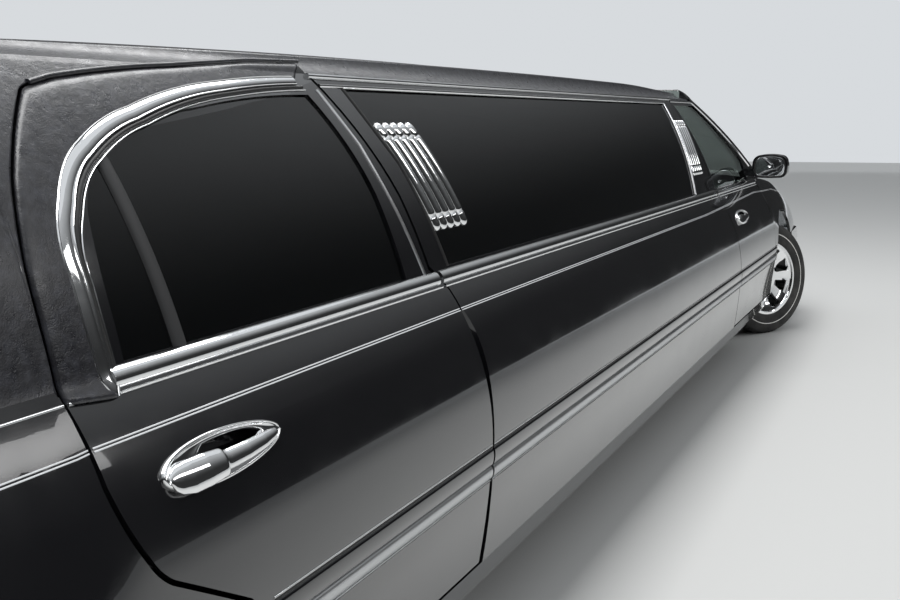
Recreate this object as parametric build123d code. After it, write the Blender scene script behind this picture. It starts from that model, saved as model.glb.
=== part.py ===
from build123d import *
import math
import os

os.makedirs("parts", exist_ok=True)

# A long black limousine, in millimetres: X forward, Y to its left, Z up.
# The origin is on the ground, half way along the car and on its middle plane.

# Overall sizes
SEDAN_LENGTH = 5471.0
SEDAN_WHEELBASE = 2990.0
STRETCH = 3048.0
HALF_WIDTH = 993.0
HEIGHT = 1499.0
FRONT_OVERHANG = 1020.0
SHUT_GAP = 7.5
TOP_GAP = 10.0
SEAT_GAP = 0.3
SKIN = 18.0
GLASS_THICKNESS = 6.0
GLASS_SET_IN = 6.0

NOSE_X = (SEDAN_LENGTH + STRETCH) / 2
TAIL_X = -NOSE_X
FRONT_AXLE = NOSE_X - FRONT_OVERHANG
REAR_AXLE = FRONT_AXLE - SEDAN_WHEELBASE - STRETCH

# Heights
SILL_Z = 200.0
SEAM_Z = 285.0
WIDEST_Z = 545.0
BELT_Z = 930.0
BUMPER_BOTTOM = 235.0
BUMPER_TOP = 565.0
RAIL_Z = HEIGHT - 110.0
HEADER_Z = HEIGHT - 55.0
ROOF_BACK_Z = HEIGHT - 65.0
ROOF_EDGE_Z = HEIGHT - 52.0

# Places along the car, each from the nearer axle
REAR_DOOR_BACK = REAR_AXLE + 348.0
REAR_DOOR_FRONT = REAR_AXLE + 1493.0
FRONT_DOOR_FRONT = FRONT_AXLE - 425.0
FRONT_DOOR_BACK = FRONT_AXLE - 1490.0
HEADER_X = FRONT_AXLE - 1130.0
SCREEN_BASE_X = FRONT_AXLE - 280.0
SCREEN_BASE_Z = 985.0
ROOF_BACK_X = REAR_AXLE + 90.0
BACKLIGHT_BASE_X = REAR_AXLE - 490.0
BACKLIGHT_BASE_Z = 1058.0
FIREWALL_X = FRONT_AXLE - 480.0
BULKHEAD_X = REAR_AXLE - 150.0

# Wheels, steering and brakes
TYRE_RADIUS = 330.0
TYRE_WIDTH = 225.0
RIM_RADIUS = 216.0
RIM_WALL = 12.0
SPOKES = 8
FRONT_TRACK = 1650.0
REAR_TRACK = 1666.0
KINGPIN_Y = 785.0
STEER_AT_REST = 35.0
ARCH_RADIUS = 390.0
ARCH_Z = 351.0
HUB_BACK = -20.0
DISC_RADIUS = 150.0
BALL_JOINT_HEIGHT = 140.0

# Ladder frame and floor
RAIL_INNER_Y = 390.0
RAIL_OUTER_Y = 460.0
RAIL_BOTTOM = 235.0
RAIL_TOP = 355.0
FRONT_KICK = 60.0
REAR_KICK = 255.0
TAIL_KICK = 190.0
CROSS_MEMBERS = 6
FLOOR_THICKNESS = 12.0
FLOOR_HALF = HALF_WIDTH - 214.0
WHEEL_ROOM = 40.5
SHAFT_Z = 275.0

# Body side from below to above: inset from the widest half width, height, bow of the run to it
SIDE = [
    (68.0, SILL_Z + 15.0, 0.0),
    (35.0, SEAM_Z, 0.0),
    (0.0, WIDEST_Z, 4.0),
    (126.0, BELT_Z, 38.0),
    (131.0, BELT_Z + 12.0, 0.0),
    (353.0, RAIL_Z, 24.0),
    (428.0, ROOF_EDGE_Z, 14.0),
]
BELT_HALF = HALF_WIDTH - SIDE[4][0]
RAIL_HALF = HALF_WIDTH - SIDE[5][0]
ROOF_EDGE_HALF = HALF_WIDTH - SIDE[6][0]
FRAME_DEPTH = 42.0
TRIM_AT_SEAM = 133.0
TRIM_AT_BELT = 223.0
ROOF_SKIN = 32.0

# Doors and their hinges
DOOR_TOP = RAIL_Z - SHUT_GAP
DOOR_BOTTOM = SEAM_Z + SHUT_GAP
DOOR_SKIN = 14.0
DOOR_STEP = 28.0
JAMB_DEPTH = 78.0
PILLAR_WIDTH = 70.0
HINGE_BACK = 35.0
HINGE_INSET = 38.0
HINGE_Y = HALF_WIDTH - HINGE_INSET
HINGE_REACH = math.hypot(HINGE_BACK, HINGE_INSET)
HINGE_HEIGHTS = (430.0, 640.0)
LEAF_HEIGHT = 24.0
PIN_RADIUS = 9.0
POST_X = FRONT_DOOR_FRONT + SHUT_GAP + 6.0
POST_DEPTH = 30.0

# Bonnet, boot lid, lamps and grille
BONNET_BACK_X = SCREEN_BASE_X + 50.0
BONNET_HALF = HALF_WIDTH - 258.0
BONNET_EDGE_Z = 757.0
COWL_HALF = HALF_WIDTH - 188.0
LID_FRONT_X = BACKLIGHT_BASE_X - 40.0
LID_HALF = HALF_WIDTH - 293.0
LID_BOTTOM = 660.0
DECK_HALF = HALF_WIDTH - 210.0
ARM_Y = RAIL_HALF
ARM_HALF = 4.0
GRILLE_HALF = 360.0
GRILLE_SLOTS = 15
HEADLAMP_TOP = 748.0
TAIL_LAMP_LOW = 670.0
TAIL_LAMP_HIGH = 860.0
TAIL_LAMP_INNER = HALF_WIDTH - 473.0
LAMP_WRAP = 330.0
LAMP_DEPTH = 60.0
PLATE_HOLES = 178.0
PLATE_Z = 430.0

# Window bars
BAR_COUNT = 5
BAR_PITCH = 38.0
BAR_WIDTH = 27.0
BAR_FOOT_Z = 1038.0
BAR_TOP_Z = 1275.0
BAR_RISE = 9.0

# Oval door handle, about its own middle: a plate, its finger opening and the grip across it
HANDLE_Z = 796.0
HANDLE_RISE = 7.0
GRIP_RISE = 18.0
HANDLE_DEPTH = 30.0
HANDLE_PLATE = [
    (-137.0, 0.0, 6.0), (-120.0, -24.0, 8.0), (-30.0, -31.0, 3.0), (60.0, -27.0, 2.0), (125.0, -13.0, 4.0),
    (137.0, 0.0, 4.0), (125.0, 14.0, 4.0), (35.0, 30.0, 4.0), (-60.0, 31.0, 3.0), (-120.0, 21.0, 5.0),
]
HANDLE_OPENING = [(-58.0, 2.0), (84.0, -2.0), (98.0, 8.0, 3.0), (40.0, 22.0, 2.0), (-42.0, 23.0, 1.0)]
HANDLE_GRIP = [
    (-126.0, -8.0), (-60.0, -25.0, 3.0), (80.0, -19.0, 2.0), (126.0, -3.0, 3.0), (84.0, -3.0), (-58.0, 1.0),
    (-110.0, 14.0),
]

# Mirror housing seen from behind: distance from the widest half width, height, bow
MIRROR_SHELL = [
    (-105.0, 1000.0, 2.0), (-87.0, 962.0, 6.0), (62.0, 962.0, 4.0), (92.0, 1000.0, 9.0), (92.0, 1050.0, 3.0),
    (57.0, 1087.0, 10.0), (-68.0, 1085.0, 6.0), (-105.0, 1035.0, 10.0),
]
MIRROR_MIDDLE = (-6.0, 1025.0)

# Front and rear ends: distance from the axle, tuck of the side, shoulder height, middle height
FRONT_STATIONS = [
    (-419.0, 0.0, 930.0, 986.0),
    (-150.0, 3.0, 918.0, 968.0),
    (250.0, 15.0, 885.0, 928.0),
    (600.0, 40.0, 838.0, 872.0),
    (940.0, 82.0, 766.0, 792.0),
]
REAR_STATIONS = [
    (-1410.0, 66.0, 916.0, 996.0),
    (-1000.0, 30.0, 940.0, 1040.0),
    (-500.0, 8.0, 944.0, 1064.0),
    (200.0, 0.0, 931.0, 1040.0),
    (700.0, 0.0, 930.0, 1010.0),
]
END_BASE = 215.0
# Plan of an end: distance ahead of its corner line, inset from the widest half width, bow
END_PLAN = [(0.0, 38.0, 0.0), (140.0, 133.0, 27.0), (215.0, 393.0, 11.0)]
PLAN_DEPTH = 250.0
PLAN_BOW = 8.75
# Lean of each end's face and section of the bumpers: height, set back, inset of the flank
FRONT_FACE = [(150.0, 60.0, 0.0), (1100.0, 128.0, 0.0)]
REAR_FACE = [(150.0, 40.0, 0.0), (1100.0, 110.0, 0.0)]
BUMPER = [
    (BUMPER_BOTTOM, 34.0, 54.0),
    (300.0, 10.0, 28.0),
    (400.0, 0.0, 13.0),
    (500.0, 2.0, 2.0),
    (BUMPER_TOP, 24.0, 4.0),
]
BUMPER_WALL = (46.0, 40.0)
SHELF_THICKNESS = 15.0
SHELF_DEPTH = 165.0


# Building blocks
def outline(points, place):
    """A closed wire. A third number in a row bows the run that leads to it, to its right hand."""
    edges = []
    last = points[-1]
    for point in points:
        start, end = last[:2], point[:2]
        bow = point[2] if len(point) == 3 else 0.0
        if bow:
            span = math.dist(start, end)
            across = ((end[1] - start[1]) / span, -(end[0] - start[0]) / span)
            middle = [(a + b) / 2 + bow * n for a, b, n in zip(start, end, across)]
            edges.append(Edge.make_three_point_arc(place(*start), place(*middle), place(*end)))
        else:
            edges.append(Edge.make_line(place(*start), place(*end)))
        last = point
    return Wire(edges)


def along_x(points, x0, x1):
    """An outline of (y, z) rows carried from x0 to x1."""
    face = Face(outline(points, lambda y, z: Vector(x0, y, z)))
    return Solid.extrude(face, Vector(x1 - x0, 0, 0))


def along_y(points, y0, y1):
    """An outline of (x, z) rows carried from y0 to y1."""
    face = Face(outline(points, lambda x, z: Vector(x, y0, z)))
    return Solid.extrude(face, Vector(0, y1 - y0, 0))


def along_z(points, z0, z1):
    """An outline of (x, y) rows carried from z0 to z1."""
    face = Face(outline(points, lambda x, y: Vector(x, y, z0)))
    return Solid.extrude(face, Vector(0, 0, z1 - z0))


def loft_x(stations):
    """Outlines of (y, z) rows at several x, joined by straight runs."""
    wires = [outline(points, lambda y, z, x=x: Vector(x, y, z)) for x, points in stations]
    return Solid.make_loft(wires, ruled=True)


def loft_z(levels):
    """Outlines of (x, y) rows at several heights, joined by straight runs."""
    wires = [outline(points, lambda x, y, z=z: Vector(x, y, z)) for z, points in levels]
    return Solid.make_loft(wires, ruled=True)


def ring(rows):
    """A turned shape about the Y axis from (radius, y) rows."""
    face = Face(outline(rows, lambda r, y: Vector(r, y, 0)))
    return Solid.revolve(face, 360, Axis.Y)


def block(x0, x1, y0, y1, z0, z1):
    """A box between two values on each axis, given in either order across."""
    x0, x1 = sorted((x0, x1))
    y0, y1 = sorted((y0, y1))
    return along_z([(x0, y0), (x1, y0), (x1, y1), (x0, y1)], z0, z1)


def bar(start, end, radius):
    """A round bar from one point to another."""
    a, b = Vector(*start), Vector(*end)
    return Solid.make_cylinder(radius, (b - a).length, Plane(origin=a, z_dir=(b - a)))


def upright(radius, x, y, z0, z1):
    """A round post from one height to another."""
    return Solid.make_cylinder(radius, z1 - z0, Plane((x, y, z0)))


def mirrored(shape):
    return shape.mirror(Plane.XZ)


def both(shape):
    """A left-hand shape joined to its mirror image."""
    return shape.fuse(mirrored(shape))


def scaled(rows, centre, factor):
    """An outline made smaller about a point, bows included."""
    return [tuple(c + (p - c) * factor for p, c in zip(row, centre)) + (row[2] * factor,) for row in rows]


def moved(rows, across, up):
    return [(row[0] + across, row[1] + up) + tuple(row[2:]) for row in rows]


def save(name, *shapes):
    solids = []
    for shape in shapes:
        solids.extend(shape.solids())
    export_step(Compound(children=solids), f"parts/{name}.step")


def save_both(name, shape):
    """A left-hand piece and its twin on the right, in one node."""
    save(name, shape, mirrored(shape))


def save_each(label, shape):
    """A left-hand piece and its twin, each in a node of its own."""
    save(label.format("left"), shape)
    save(label.format("right"), mirrored(shape))


# The body side
def inside(x0, x1, depth):
    """All that lies inboard of the left side's outer line by more than a depth."""
    line = [(HALF_WIDTH - drop - depth, z, bow) for drop, z, bow in SIDE]
    return along_x([(0.0, SILL_Z - 50), (line[0][0], SILL_Z - 50)] + line + [(0.0, ROOF_EDGE_Z)], x0, x1)


def layer(x0, x1, outer, inner):
    """The sheet of the left side between two depths behind its outer line."""
    return inside(x0, x1, outer) - inside(x0 - 1, x1 + 1, inner)


def side_slab(x0, x1, z_bottom=SEAM_Z, z_top=RAIL_Z):
    """Outer skin to inner trim of the left side, thick below the belt and thin round the glass."""
    trim = [
        (0.0, SILL_Z - 60),
        (HALF_WIDTH - TRIM_AT_SEAM, SILL_Z - 60),
        (HALF_WIDTH - TRIM_AT_SEAM, SEAM_Z),
        (HALF_WIDTH - TRIM_AT_BELT, BELT_Z),
        (BELT_HALF - FRAME_DEPTH, BELT_Z + 12.0),
        (RAIL_HALF - FRAME_DEPTH, RAIL_Z, 24.0),
        (RAIL_HALF - FRAME_DEPTH, HEIGHT),
        (0.0, HEIGHT),
    ]
    slab = inside(x0, x1, 0.0) - along_x(trim, x0 - 1, x1 + 1)
    return slab & block(x0 - 2, x1 + 2, 0, 2 * HALF_WIDTH, z_bottom, z_top)


def grown(points, margin):
    """An outline with every run moved outwards by the margin, its bows kept."""
    corners = [p[:2] for p in points]
    turn = sum(a[0] * b[1] - b[0] * a[1] for a, b in zip(corners, corners[1:] + corners[:1]))
    out = margin if turn > 0 else -margin
    lines = []
    for start, end in zip(corners[-1:] + corners[:-1], corners):
        span = math.dist(start, end)
        nx, ny = (end[1] - start[1]) / span, -(end[0] - start[0]) / span
        lines.append((nx, ny, nx * start[0] + ny * start[1] + out))
    rows = []
    for point, (a, b, c), (d, e, f) in zip(points, lines, lines[1:] + lines[:1]):
        cross = a * e - b * d
        rows.append(((c * e - b * f) / cross, (a * f - c * d) / cross) + tuple(point[2:]))
    return rows


def cutter(points, margin=0.0, y0=0.0, y1=2 * HALF_WIDTH):
    """A prism through the left side in the shape of an outline of (x, z) rows."""
    return along_y(grown(points, margin) if margin else points, y0, y1)


SCREEN_SLOPE = (HEADER_Z - SCREEN_BASE_Z) / (SCREEN_BASE_X - HEADER_X)


def screen_x(z, back=0.0):
    """Where the windscreen's outer line stands at a height, moved back along the car."""
    return HEADER_X + (HEADER_Z - z) / SCREEN_SLOPE - back


def screen_z(x):
    """The same line's height at a place along the car."""
    return HEADER_Z - (x - HEADER_X) * SCREEN_SLOPE


# Outlines on the side, as (x, z, bow) rows
FRONT_CORNER_Z = screen_z(FRONT_DOOR_FRONT + PILLAR_WIDTH)
FRONT_DOOR = [
    (FRONT_DOOR_BACK, DOOR_BOTTOM),
    (FRONT_DOOR_FRONT, DOOR_BOTTOM),
    (FRONT_DOOR_FRONT, FRONT_CORNER_Z),
    (screen_x(DOOR_TOP, PILLAR_WIDTH), DOOR_TOP),
    (FRONT_DOOR_BACK - 60.0, DOOR_TOP),
    (FRONT_DOOR_BACK, BELT_Z),
]
FRONT_GLASS = [
    (FRONT_DOOR_BACK + 32.0, BELT_Z + 22.0),
    (FRONT_DOOR_FRONT - 170.0, BELT_Z + 22.0),
    (FRONT_DOOR_FRONT - 170.0, FRONT_CORNER_Z + 30.0),
    (screen_x(DOOR_TOP - 26.0, PILLAR_WIDTH + 62.0), DOOR_TOP - 26.0),
    (FRONT_DOOR_BACK - 25.0, DOOR_TOP - 26.0),
]
REAR_DOOR = [
    (REAR_AXLE + 640.0, DOOR_BOTTOM),
    (REAR_DOOR_FRONT, DOOR_BOTTOM),
    (REAR_DOOR_FRONT, BELT_Z - 25.0),
    (REAR_DOOR_FRONT - 46.0, BELT_Z + 25.0, 6.0),
    (REAR_DOOR_FRONT - 72.0, RAIL_Z - 270.0),
    (REAR_DOOR_FRONT - 190.0, RAIL_Z - 6.0, 10.0),
    (REAR_DOOR_FRONT - 213.0, RAIL_Z + 19.0, 3.0),
    (REAR_AXLE + 1092.0, RAIL_Z + 13.0),
    (REAR_AXLE + 838.0, RAIL_Z - 8.0),
    (REAR_AXLE + 546.0, RAIL_Z - 38.0, 3.0),
    (REAR_AXLE + 487.0, RAIL_Z - 52.0),
    (REAR_AXLE + 388.0, RAIL_Z - 183.0, 6.0),
    (REAR_AXLE + 351.0, RAIL_Z - 315.0, 5.0),
    (REAR_DOOR_BACK, BELT_Z),
    (REAR_DOOR_BACK, BELT_Z - 115.0),
    (REAR_DOOR_BACK + 37.0, BELT_Z - 217.0, 6.0),
    (REAR_DOOR_BACK + 75.0, BELT_Z - 259.0, 4.0),
    (REAR_DOOR_BACK + 235.0, BELT_Z - 347.0),
    (REAR_AXLE + 635.0, BELT_Z - 460.0, -14.0),
]
REAR_GLASS = [
    (REAR_DOOR_BACK + 127.0, BELT_Z + 18.0),
    (REAR_DOOR_FRONT - 155.0, BELT_Z + 18.0),
    (REAR_DOOR_FRONT - 165.0, RAIL_Z - 260.0),
    (REAR_DOOR_FRONT - 236.0, RAIL_Z - 46.0, 10.0),
    (REAR_AXLE + 860.0, RAIL_Z - 76.0, 7.0),
    (REAR_AXLE + 588.0, RAIL_Z - 150.0, 13.0),
    (REAR_AXLE + 494.0, RAIL_Z - 236.0, 15.0),
    (REAR_AXLE + 476.0, RAIL_Z - 360.0, 4.0),
]
LONG_GLASS = [
    (REAR_DOOR_FRONT + 52.0, BELT_Z + 22.0),
    (FRONT_DOOR_BACK - 400.0, BELT_Z + 22.0),
    (FRONT_DOOR_BACK - 200.0, DOOR_TOP - 20.0),
    (REAR_DOOR_FRONT - 78.0, DOOR_TOP - 20.0),
    (REAR_DOOR_FRONT - 5.0, RAIL_Z - 199.0, 8.0),
]


def opening_for_door(points):
    """What a fixed panel loses round a door: the outline, wider above the belt, and the hinge's sweep."""
    front = max(p[0] for p in points)
    top = cutter(points, TOP_GAP) & block(front - 2000, front + 50, 0, HALF_WIDTH, BELT_Z, HEIGHT)
    relief = upright(HINGE_REACH + SHUT_GAP, front - HINGE_BACK, HINGE_Y, 0, RAIL_Z)
    return cutter(points, SHUT_GAP).fuse(top, relief)


def body_leaf(x, z):
    """The pillar's half of a hinge: a flat arm from the pillar out to the axis."""
    axis_x = x - HINGE_BACK
    root_x = x + SHUT_GAP + 8
    arm = along_z([(axis_x - 7, HINGE_Y - 4), (axis_x + 4, HINGE_Y + 7), (root_x, HINGE_Y - 70),
                   (root_x, HINGE_Y - 86)], z, z + LEAF_HEIGHT)
    return arm.fuse(upright(PIN_RADIUS, axis_x, HINGE_Y, z, z + LEAF_HEIGHT))


def door_leaf(x, z):
    """The door's half of a hinge, just below the pillar's half."""
    axis_x = x - HINGE_BACK
    top = z - SEAT_GAP
    arm = block(x - JAMB_DEPTH - 5, axis_x, HINGE_Y - 8, HINGE_Y + 8, top - LEAF_HEIGHT, top)
    return arm.fuse(upright(PIN_RADIUS, axis_x, HINGE_Y, top - LEAF_HEIGHT, top))


def door(points, glass, handle_x):
    """A left door: its outer skin, its inner box set in from the shut line, and its window cut."""
    x0, x1 = min(p[0] for p in points), max(p[0] for p in points)
    slab = side_slab(x0 - 50, x1 + 50, SEAM_Z, ROOF_EDGE_Z)
    core = inside(x0 - 60, x1 + 60, DOOR_SKIN)
    skin = (slab - core) & cutter(points)
    box = slab & cutter(points, -DOOR_STEP)
    jamb = block(x1 - JAMB_DEPTH, x1 + 5, 0, HALF_WIDTH, 0, BELT_Z - 40) & core
    whole = skin.fuse(box - jamb) - cutter(glass)
    for z in HINGE_HEIGHTS:
        whole = whole.fuse(door_leaf(x1, z))
    pocket = cutter(moved(HANDLE_OPENING, handle_x, HANDLE_Z)) & layer(x0, x1, -20, HANDLE_DEPTH)
    return whole - pocket


def pane(points):
    """A curved side window, set in behind the outer line and reaching its opening's edges."""
    x0, x1 = min(p[0] for p in points) - 50, max(p[0] for p in points) + 50
    return layer(x0, x1, GLASS_SET_IN, GLASS_SET_IN + GLASS_THICKNESS) & cutter(points)


def handle(x):
    """A pull grip that stands across the opening of its oval plate."""
    plate = layer(x - 200, x + 200, -HANDLE_RISE, 0) & cutter(moved(HANDLE_PLATE, x, HANDLE_Z))
    plate = plate - cutter(moved(HANDLE_OPENING, x, HANDLE_Z))
    grip = layer(x - 200, x + 200, -GRIP_RISE, -HANDLE_RISE) & cutter(moved(HANDLE_GRIP, x, HANDLE_Z))
    return plate.fuse(grip)


def build_doors():
    doors = (("front", FRONT_DOOR, FRONT_GLASS, FRONT_DOOR_BACK + 265.0),
             ("rear", REAR_DOOR, REAR_GLASS, REAR_DOOR_BACK + 232.0))
    for end, points, glass, handle_x in doors:
        save_each(end + "_{}_door", door(points, glass, handle_x))
        save_each(end + "_{}_door_glass", pane(glass))
        save_each(end + "_{}_door_handle", handle(handle_x))


def build_side_panels():
    """The fixed sides between the doors, with the long windows."""
    panel = side_slab(REAR_DOOR_FRONT - 250, FRONT_DOOR_BACK + 50)
    panel = panel - opening_for_door(REAR_DOOR) - cutter(FRONT_DOOR, SHUT_GAP) - cutter(LONG_GLASS)
    for z in HINGE_HEIGHTS:
        panel = panel.fuse(body_leaf(REAR_DOOR_FRONT, z))
    save_both("side_panels", panel)
    save_both("long_windows", pane(LONG_GLASS))


def build_window_bars():
    """Five upright ornament bars at each end of the long windows, behind on glass and ahead on metal."""
    bars = []
    for x_foot, lean, seat in ((REAR_DOOR_FRONT + 52, -65.0, GLASS_SET_IN),
                               (FRONT_DOOR_BACK - 334, 95.0, 0.0)):
        for i in range(BAR_COUNT):
            x = x_foot + i * BAR_PITCH
            rows = [(x, BAR_FOOT_Z), (x + BAR_WIDTH, BAR_FOOT_Z), (x + BAR_WIDTH + lean, BAR_TOP_Z, 3.0),
                    (x + lean, BAR_TOP_Z)]
            bars.append(layer(x - 200, x + 200, seat - BAR_RISE, seat) & cutter(rows))
    save("window_bars", *bars, *[mirrored(b) for b in bars])


# The nose and the tail
def end_points(tuck, shoulder, top, inset):
    """Half a cross-section of the nose or tail, from the middle plane out, up and back over."""
    edge = HALF_WIDTH - tuck - inset
    base = END_BASE - inset / 2
    return [
        (0.0, base),
        (edge - 68.0, base),
        (edge - 35.0, SEAM_Z),
        (edge, WIDEST_Z),
        (edge - 122.0, shoulder - inset, 34.0),
        (edge - 210.0, shoulder + 0.35 * (top - shoulder) - inset, 12.0),
        (0.0, top - inset, 14.0),
    ]


def plan_rows(x, way, back, inset, x_open, flank):
    """The plan outline of an end, from one flank round to the other."""
    corner = x - way * (PLAN_DEPTH + back)
    side = HALF_WIDTH - inset
    spots = [(corner + way * ahead, side - drop) for ahead, drop, _ in END_PLAN]
    bows = [way * bow for _, _, bow in END_PLAN] + [way * PLAN_BOW]
    rows = [(x_open, flank - side)]
    rows += [(a, -b, bow) for (a, b), bow in zip(spots, bows)]
    rows.append((corner + way * PLAN_DEPTH, 0.0, bows[-1]))
    rows += [(a, b, bow) for (a, b), bow in zip(spots[::-1], bows[::-1])]
    rows.append((x_open, side - flank, bows[0]))
    return rows


def end_prism(x, way, levels, x_open, flank, more=0.0):
    """A solid in the plan of one end, whose face leans or bulges with height."""
    return loft_z([(z, plan_rows(x, way, back + more, inset + more, x_open, flank)) for z, back,
                   inset in levels])


def end_solid(front, inset=0.0):
    """The whole nose or tail as one solid, or the same shape inset all round."""
    axle, stations = (FRONT_AXLE, FRONT_STATIONS) if front else (REAR_AXLE, REAR_STATIONS)
    half = loft_x([(axle + x, end_points(tuck, shoulder, top, inset)) for x, tuck, shoulder, top in stations])
    if front:
        cap = end_prism(NOSE_X, 1, FRONT_FACE, FRONT_AXLE - 500, -60.0, inset)
    else:
        cap = end_prism(TAIL_X, -1, REAR_FACE, REAR_AXLE + 800, -60.0, inset)
    return both(half) & cap


def arch_cut(axle):
    return Solid.make_cylinder(ARCH_RADIUS, HALF_WIDTH, Plane((axle, 300, ARCH_Z), z_dir=(0, 1, 0)))


def build_bonnet_and_cowl(shell, far):
    front = BONNET_BACK_X - SHUT_GAP
    bonnet = shell & block(BONNET_BACK_X, far, -BONNET_HALF, BONNET_HALF, BONNET_EDGE_Z, HEIGHT)
    cowl = shell & block(SCREEN_BASE_X, front, -COWL_HALF, COWL_HALF, 850, HEIGHT)
    cowl = cowl.fuse(block(SCREEN_BASE_X + 2, front, -BONNET_HALF, BONNET_HALF, 850, 900))
    for s in (1, -1):
        bonnet = bonnet.fuse(block(BONNET_BACK_X + 30, BONNET_BACK_X + 90, s * ARM_Y - ARM_HALF,
                                   s * ARM_Y + ARM_HALF, 880, 950))
        near = s * (ARM_Y + ARM_HALF + SEAT_GAP)
        cowl = cowl.fuse(block(front - 20, front + 90, near, near + s * 10, 855, 905))
        cowl = cowl.fuse(block(SCREEN_BASE_X + 2, SCREEN_BASE_X + 30, s * ARM_Y, s * BONNET_HALF, 880, 940))
    save("bonnet", bonnet)
    save("cowl_panel", cowl)


def build_front_end():
    solid = end_solid(True)
    shell = solid - end_solid(True, SKIN)
    far, wide, gap = NOSE_X + 200, HALF_WIDTH + 50, SHUT_GAP
    build_bonnet_and_cowl(shell, far)

    fender = shell & block(0, far, 300, wide, SEAM_Z, HEIGHT)
    fender = fender - arch_cut(FRONT_AXLE) - opening_for_door(FRONT_DOOR)
    fender = fender - block(BONNET_BACK_X - gap, far, 0, BONNET_HALF + gap, 690, HEIGHT)
    fender = fender - block(0, BONNET_BACK_X, 0, COWL_HALF + SEAT_GAP, 800, HEIGHT)
    fender = fender - block(0, SCREEN_BASE_X + 64, COWL_HALF, HALF_WIDTH - 127, BELT_Z + 11.7, HEIGHT)
    fender = fender - block(0, POST_X + 72, 0, HALF_WIDTH - 131, 880, HEIGHT)
    fender = fender - block(FRONT_AXLE + 300, far, 0, wide, 0, BUMPER_TOP + 4)
    fender = fender - block(NOSE_X - LAMP_WRAP - SEAT_GAP, far, 0, wide, 0, HEADLAMP_TOP + SEAT_GAP)
    save_both("front_fenders", fender)

    face = (solid - end_solid(True, LAMP_DEPTH)) & block(NOSE_X - LAMP_WRAP, far, -wide, wide, BUMPER_TOP,
                                                         HEADLAMP_TOP)
    grille = face & block(0, far, -GRILLE_HALF, GRILLE_HALF, 0, HEIGHT)
    pitch = 2 * (GRILLE_HALF - 40) / GRILLE_SLOTS
    for i in range(GRILLE_SLOTS):
        y = (i - (GRILLE_SLOTS - 1) / 2) * pitch
        grille = grille - block(NOSE_X - 260, far, y - 0.36 * pitch, y + 0.36 * pitch, BUMPER_TOP + 27,
                                HEADLAMP_TOP - 24)
    save("grille", grille)
    save_both("headlamps", face & block(0, far, GRILLE_HALF + SEAT_GAP, wide, 0, HEIGHT))


def build_rear_end():
    solid = end_solid(False)
    shell = solid - end_solid(False, SKIN)
    far, wide, gap = TAIL_X - 200, HALF_WIDTH + 50, SHUT_GAP
    x_wrap, deck_x = TAIL_X + LAMP_WRAP, LID_FRONT_X + gap
    lid = shell & block(far, LID_FRONT_X, -LID_HALF, LID_HALF, TAIL_LAMP_HIGH + gap, HEIGHT).fuse(
        block(far, x_wrap, -TAIL_LAMP_INNER, TAIL_LAMP_INNER, LID_BOTTOM, HEIGHT))
    deck = shell & block(deck_x, BACKLIGHT_BASE_X - SEAT_GAP, -DECK_HALF, DECK_HALF, 900, HEIGHT)
    for s in (1, -1):
        lid = lid.fuse(block(LID_FRONT_X - 90, LID_FRONT_X - 30, s * ARM_Y - ARM_HALF,
                             s * ARM_Y + ARM_HALF, 920, 995))
        near = s * (ARM_Y + ARM_HALF + SEAT_GAP)
        deck = deck.fuse(block(LID_FRONT_X - 80, deck_x + 30, near, near + s * 10, 920, 965))
        deck = deck.fuse(block(deck_x, deck_x + 20, s * (ARM_Y - 40), near + s * 10, 920, 1000))
    upstand = block(BACKLIGHT_BASE_X - 14, BACKLIGHT_BASE_X - SEAT_GAP, -DECK_HALF, DECK_HALF, 950,
                    BACKLIGHT_BASE_Z - 8)
    save("boot_lid", lid)
    save("rear_deck", deck.fuse(upstand - solid))

    lid_room = block(far, deck_x, -LID_HALF - gap, LID_HALF + gap, TAIL_LAMP_HIGH, HEIGHT)
    face_room = block(far, x_wrap, -TAIL_LAMP_INNER - gap, TAIL_LAMP_INNER + gap, LID_BOTTOM - gap, HEIGHT)
    quarter = shell & block(far, REAR_AXLE + 639 + gap, 300, wide, SEAM_Z, HEIGHT)
    quarter = quarter - lid_room - arch_cut(REAR_AXLE) - opening_for_door(REAR_DOOR)
    quarter = quarter - block(far, REAR_AXLE - 300, 0, wide, 0, BUMPER_TOP + 4)
    quarter = quarter - block(deck_x, FRONT_AXLE, 0, DECK_HALF, 0, HEIGHT)
    quarter = quarter - block(far, x_wrap + SEAT_GAP, 0, wide, 0, TAIL_LAMP_HIGH)
    pillar = side_slab(BACKLIGHT_BASE_X - 20, REAR_AXLE + 700, BELT_Z - 30,
                       RAIL_Z) - opening_for_door(REAR_DOOR)
    behind = along_y([(ROOF_BACK_X - 20 - (ROOF_BACK_Z - BACKLIGHT_BASE_Z) * 1.6, BACKLIGHT_BASE_Z),
                      (ROOF_BACK_X - 20, ROOF_BACK_Z), (ROOF_BACK_X - 20, HEIGHT + 50),
                      (TAIL_X, HEIGHT + 50), (TAIL_X, BACKLIGHT_BASE_Z)], -10, HALF_WIDTH)
    save_both("quarter_panels", quarter.fuse(pillar - behind))

    lamp_zone = block(far, x_wrap, TAIL_LAMP_INNER + gap + 8, wide, TAIL_LAMP_LOW, TAIL_LAMP_HIGH)
    panel = shell & block(far, x_wrap, -wide, wide, BUMPER_TOP, TAIL_LAMP_HIGH)
    save("tail_panel", panel - lid_room - face_room - lamp_zone - mirrored(lamp_zone))
    save_both("tail_lamps", (solid - end_solid(False, LAMP_DEPTH)) & lamp_zone)


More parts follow.
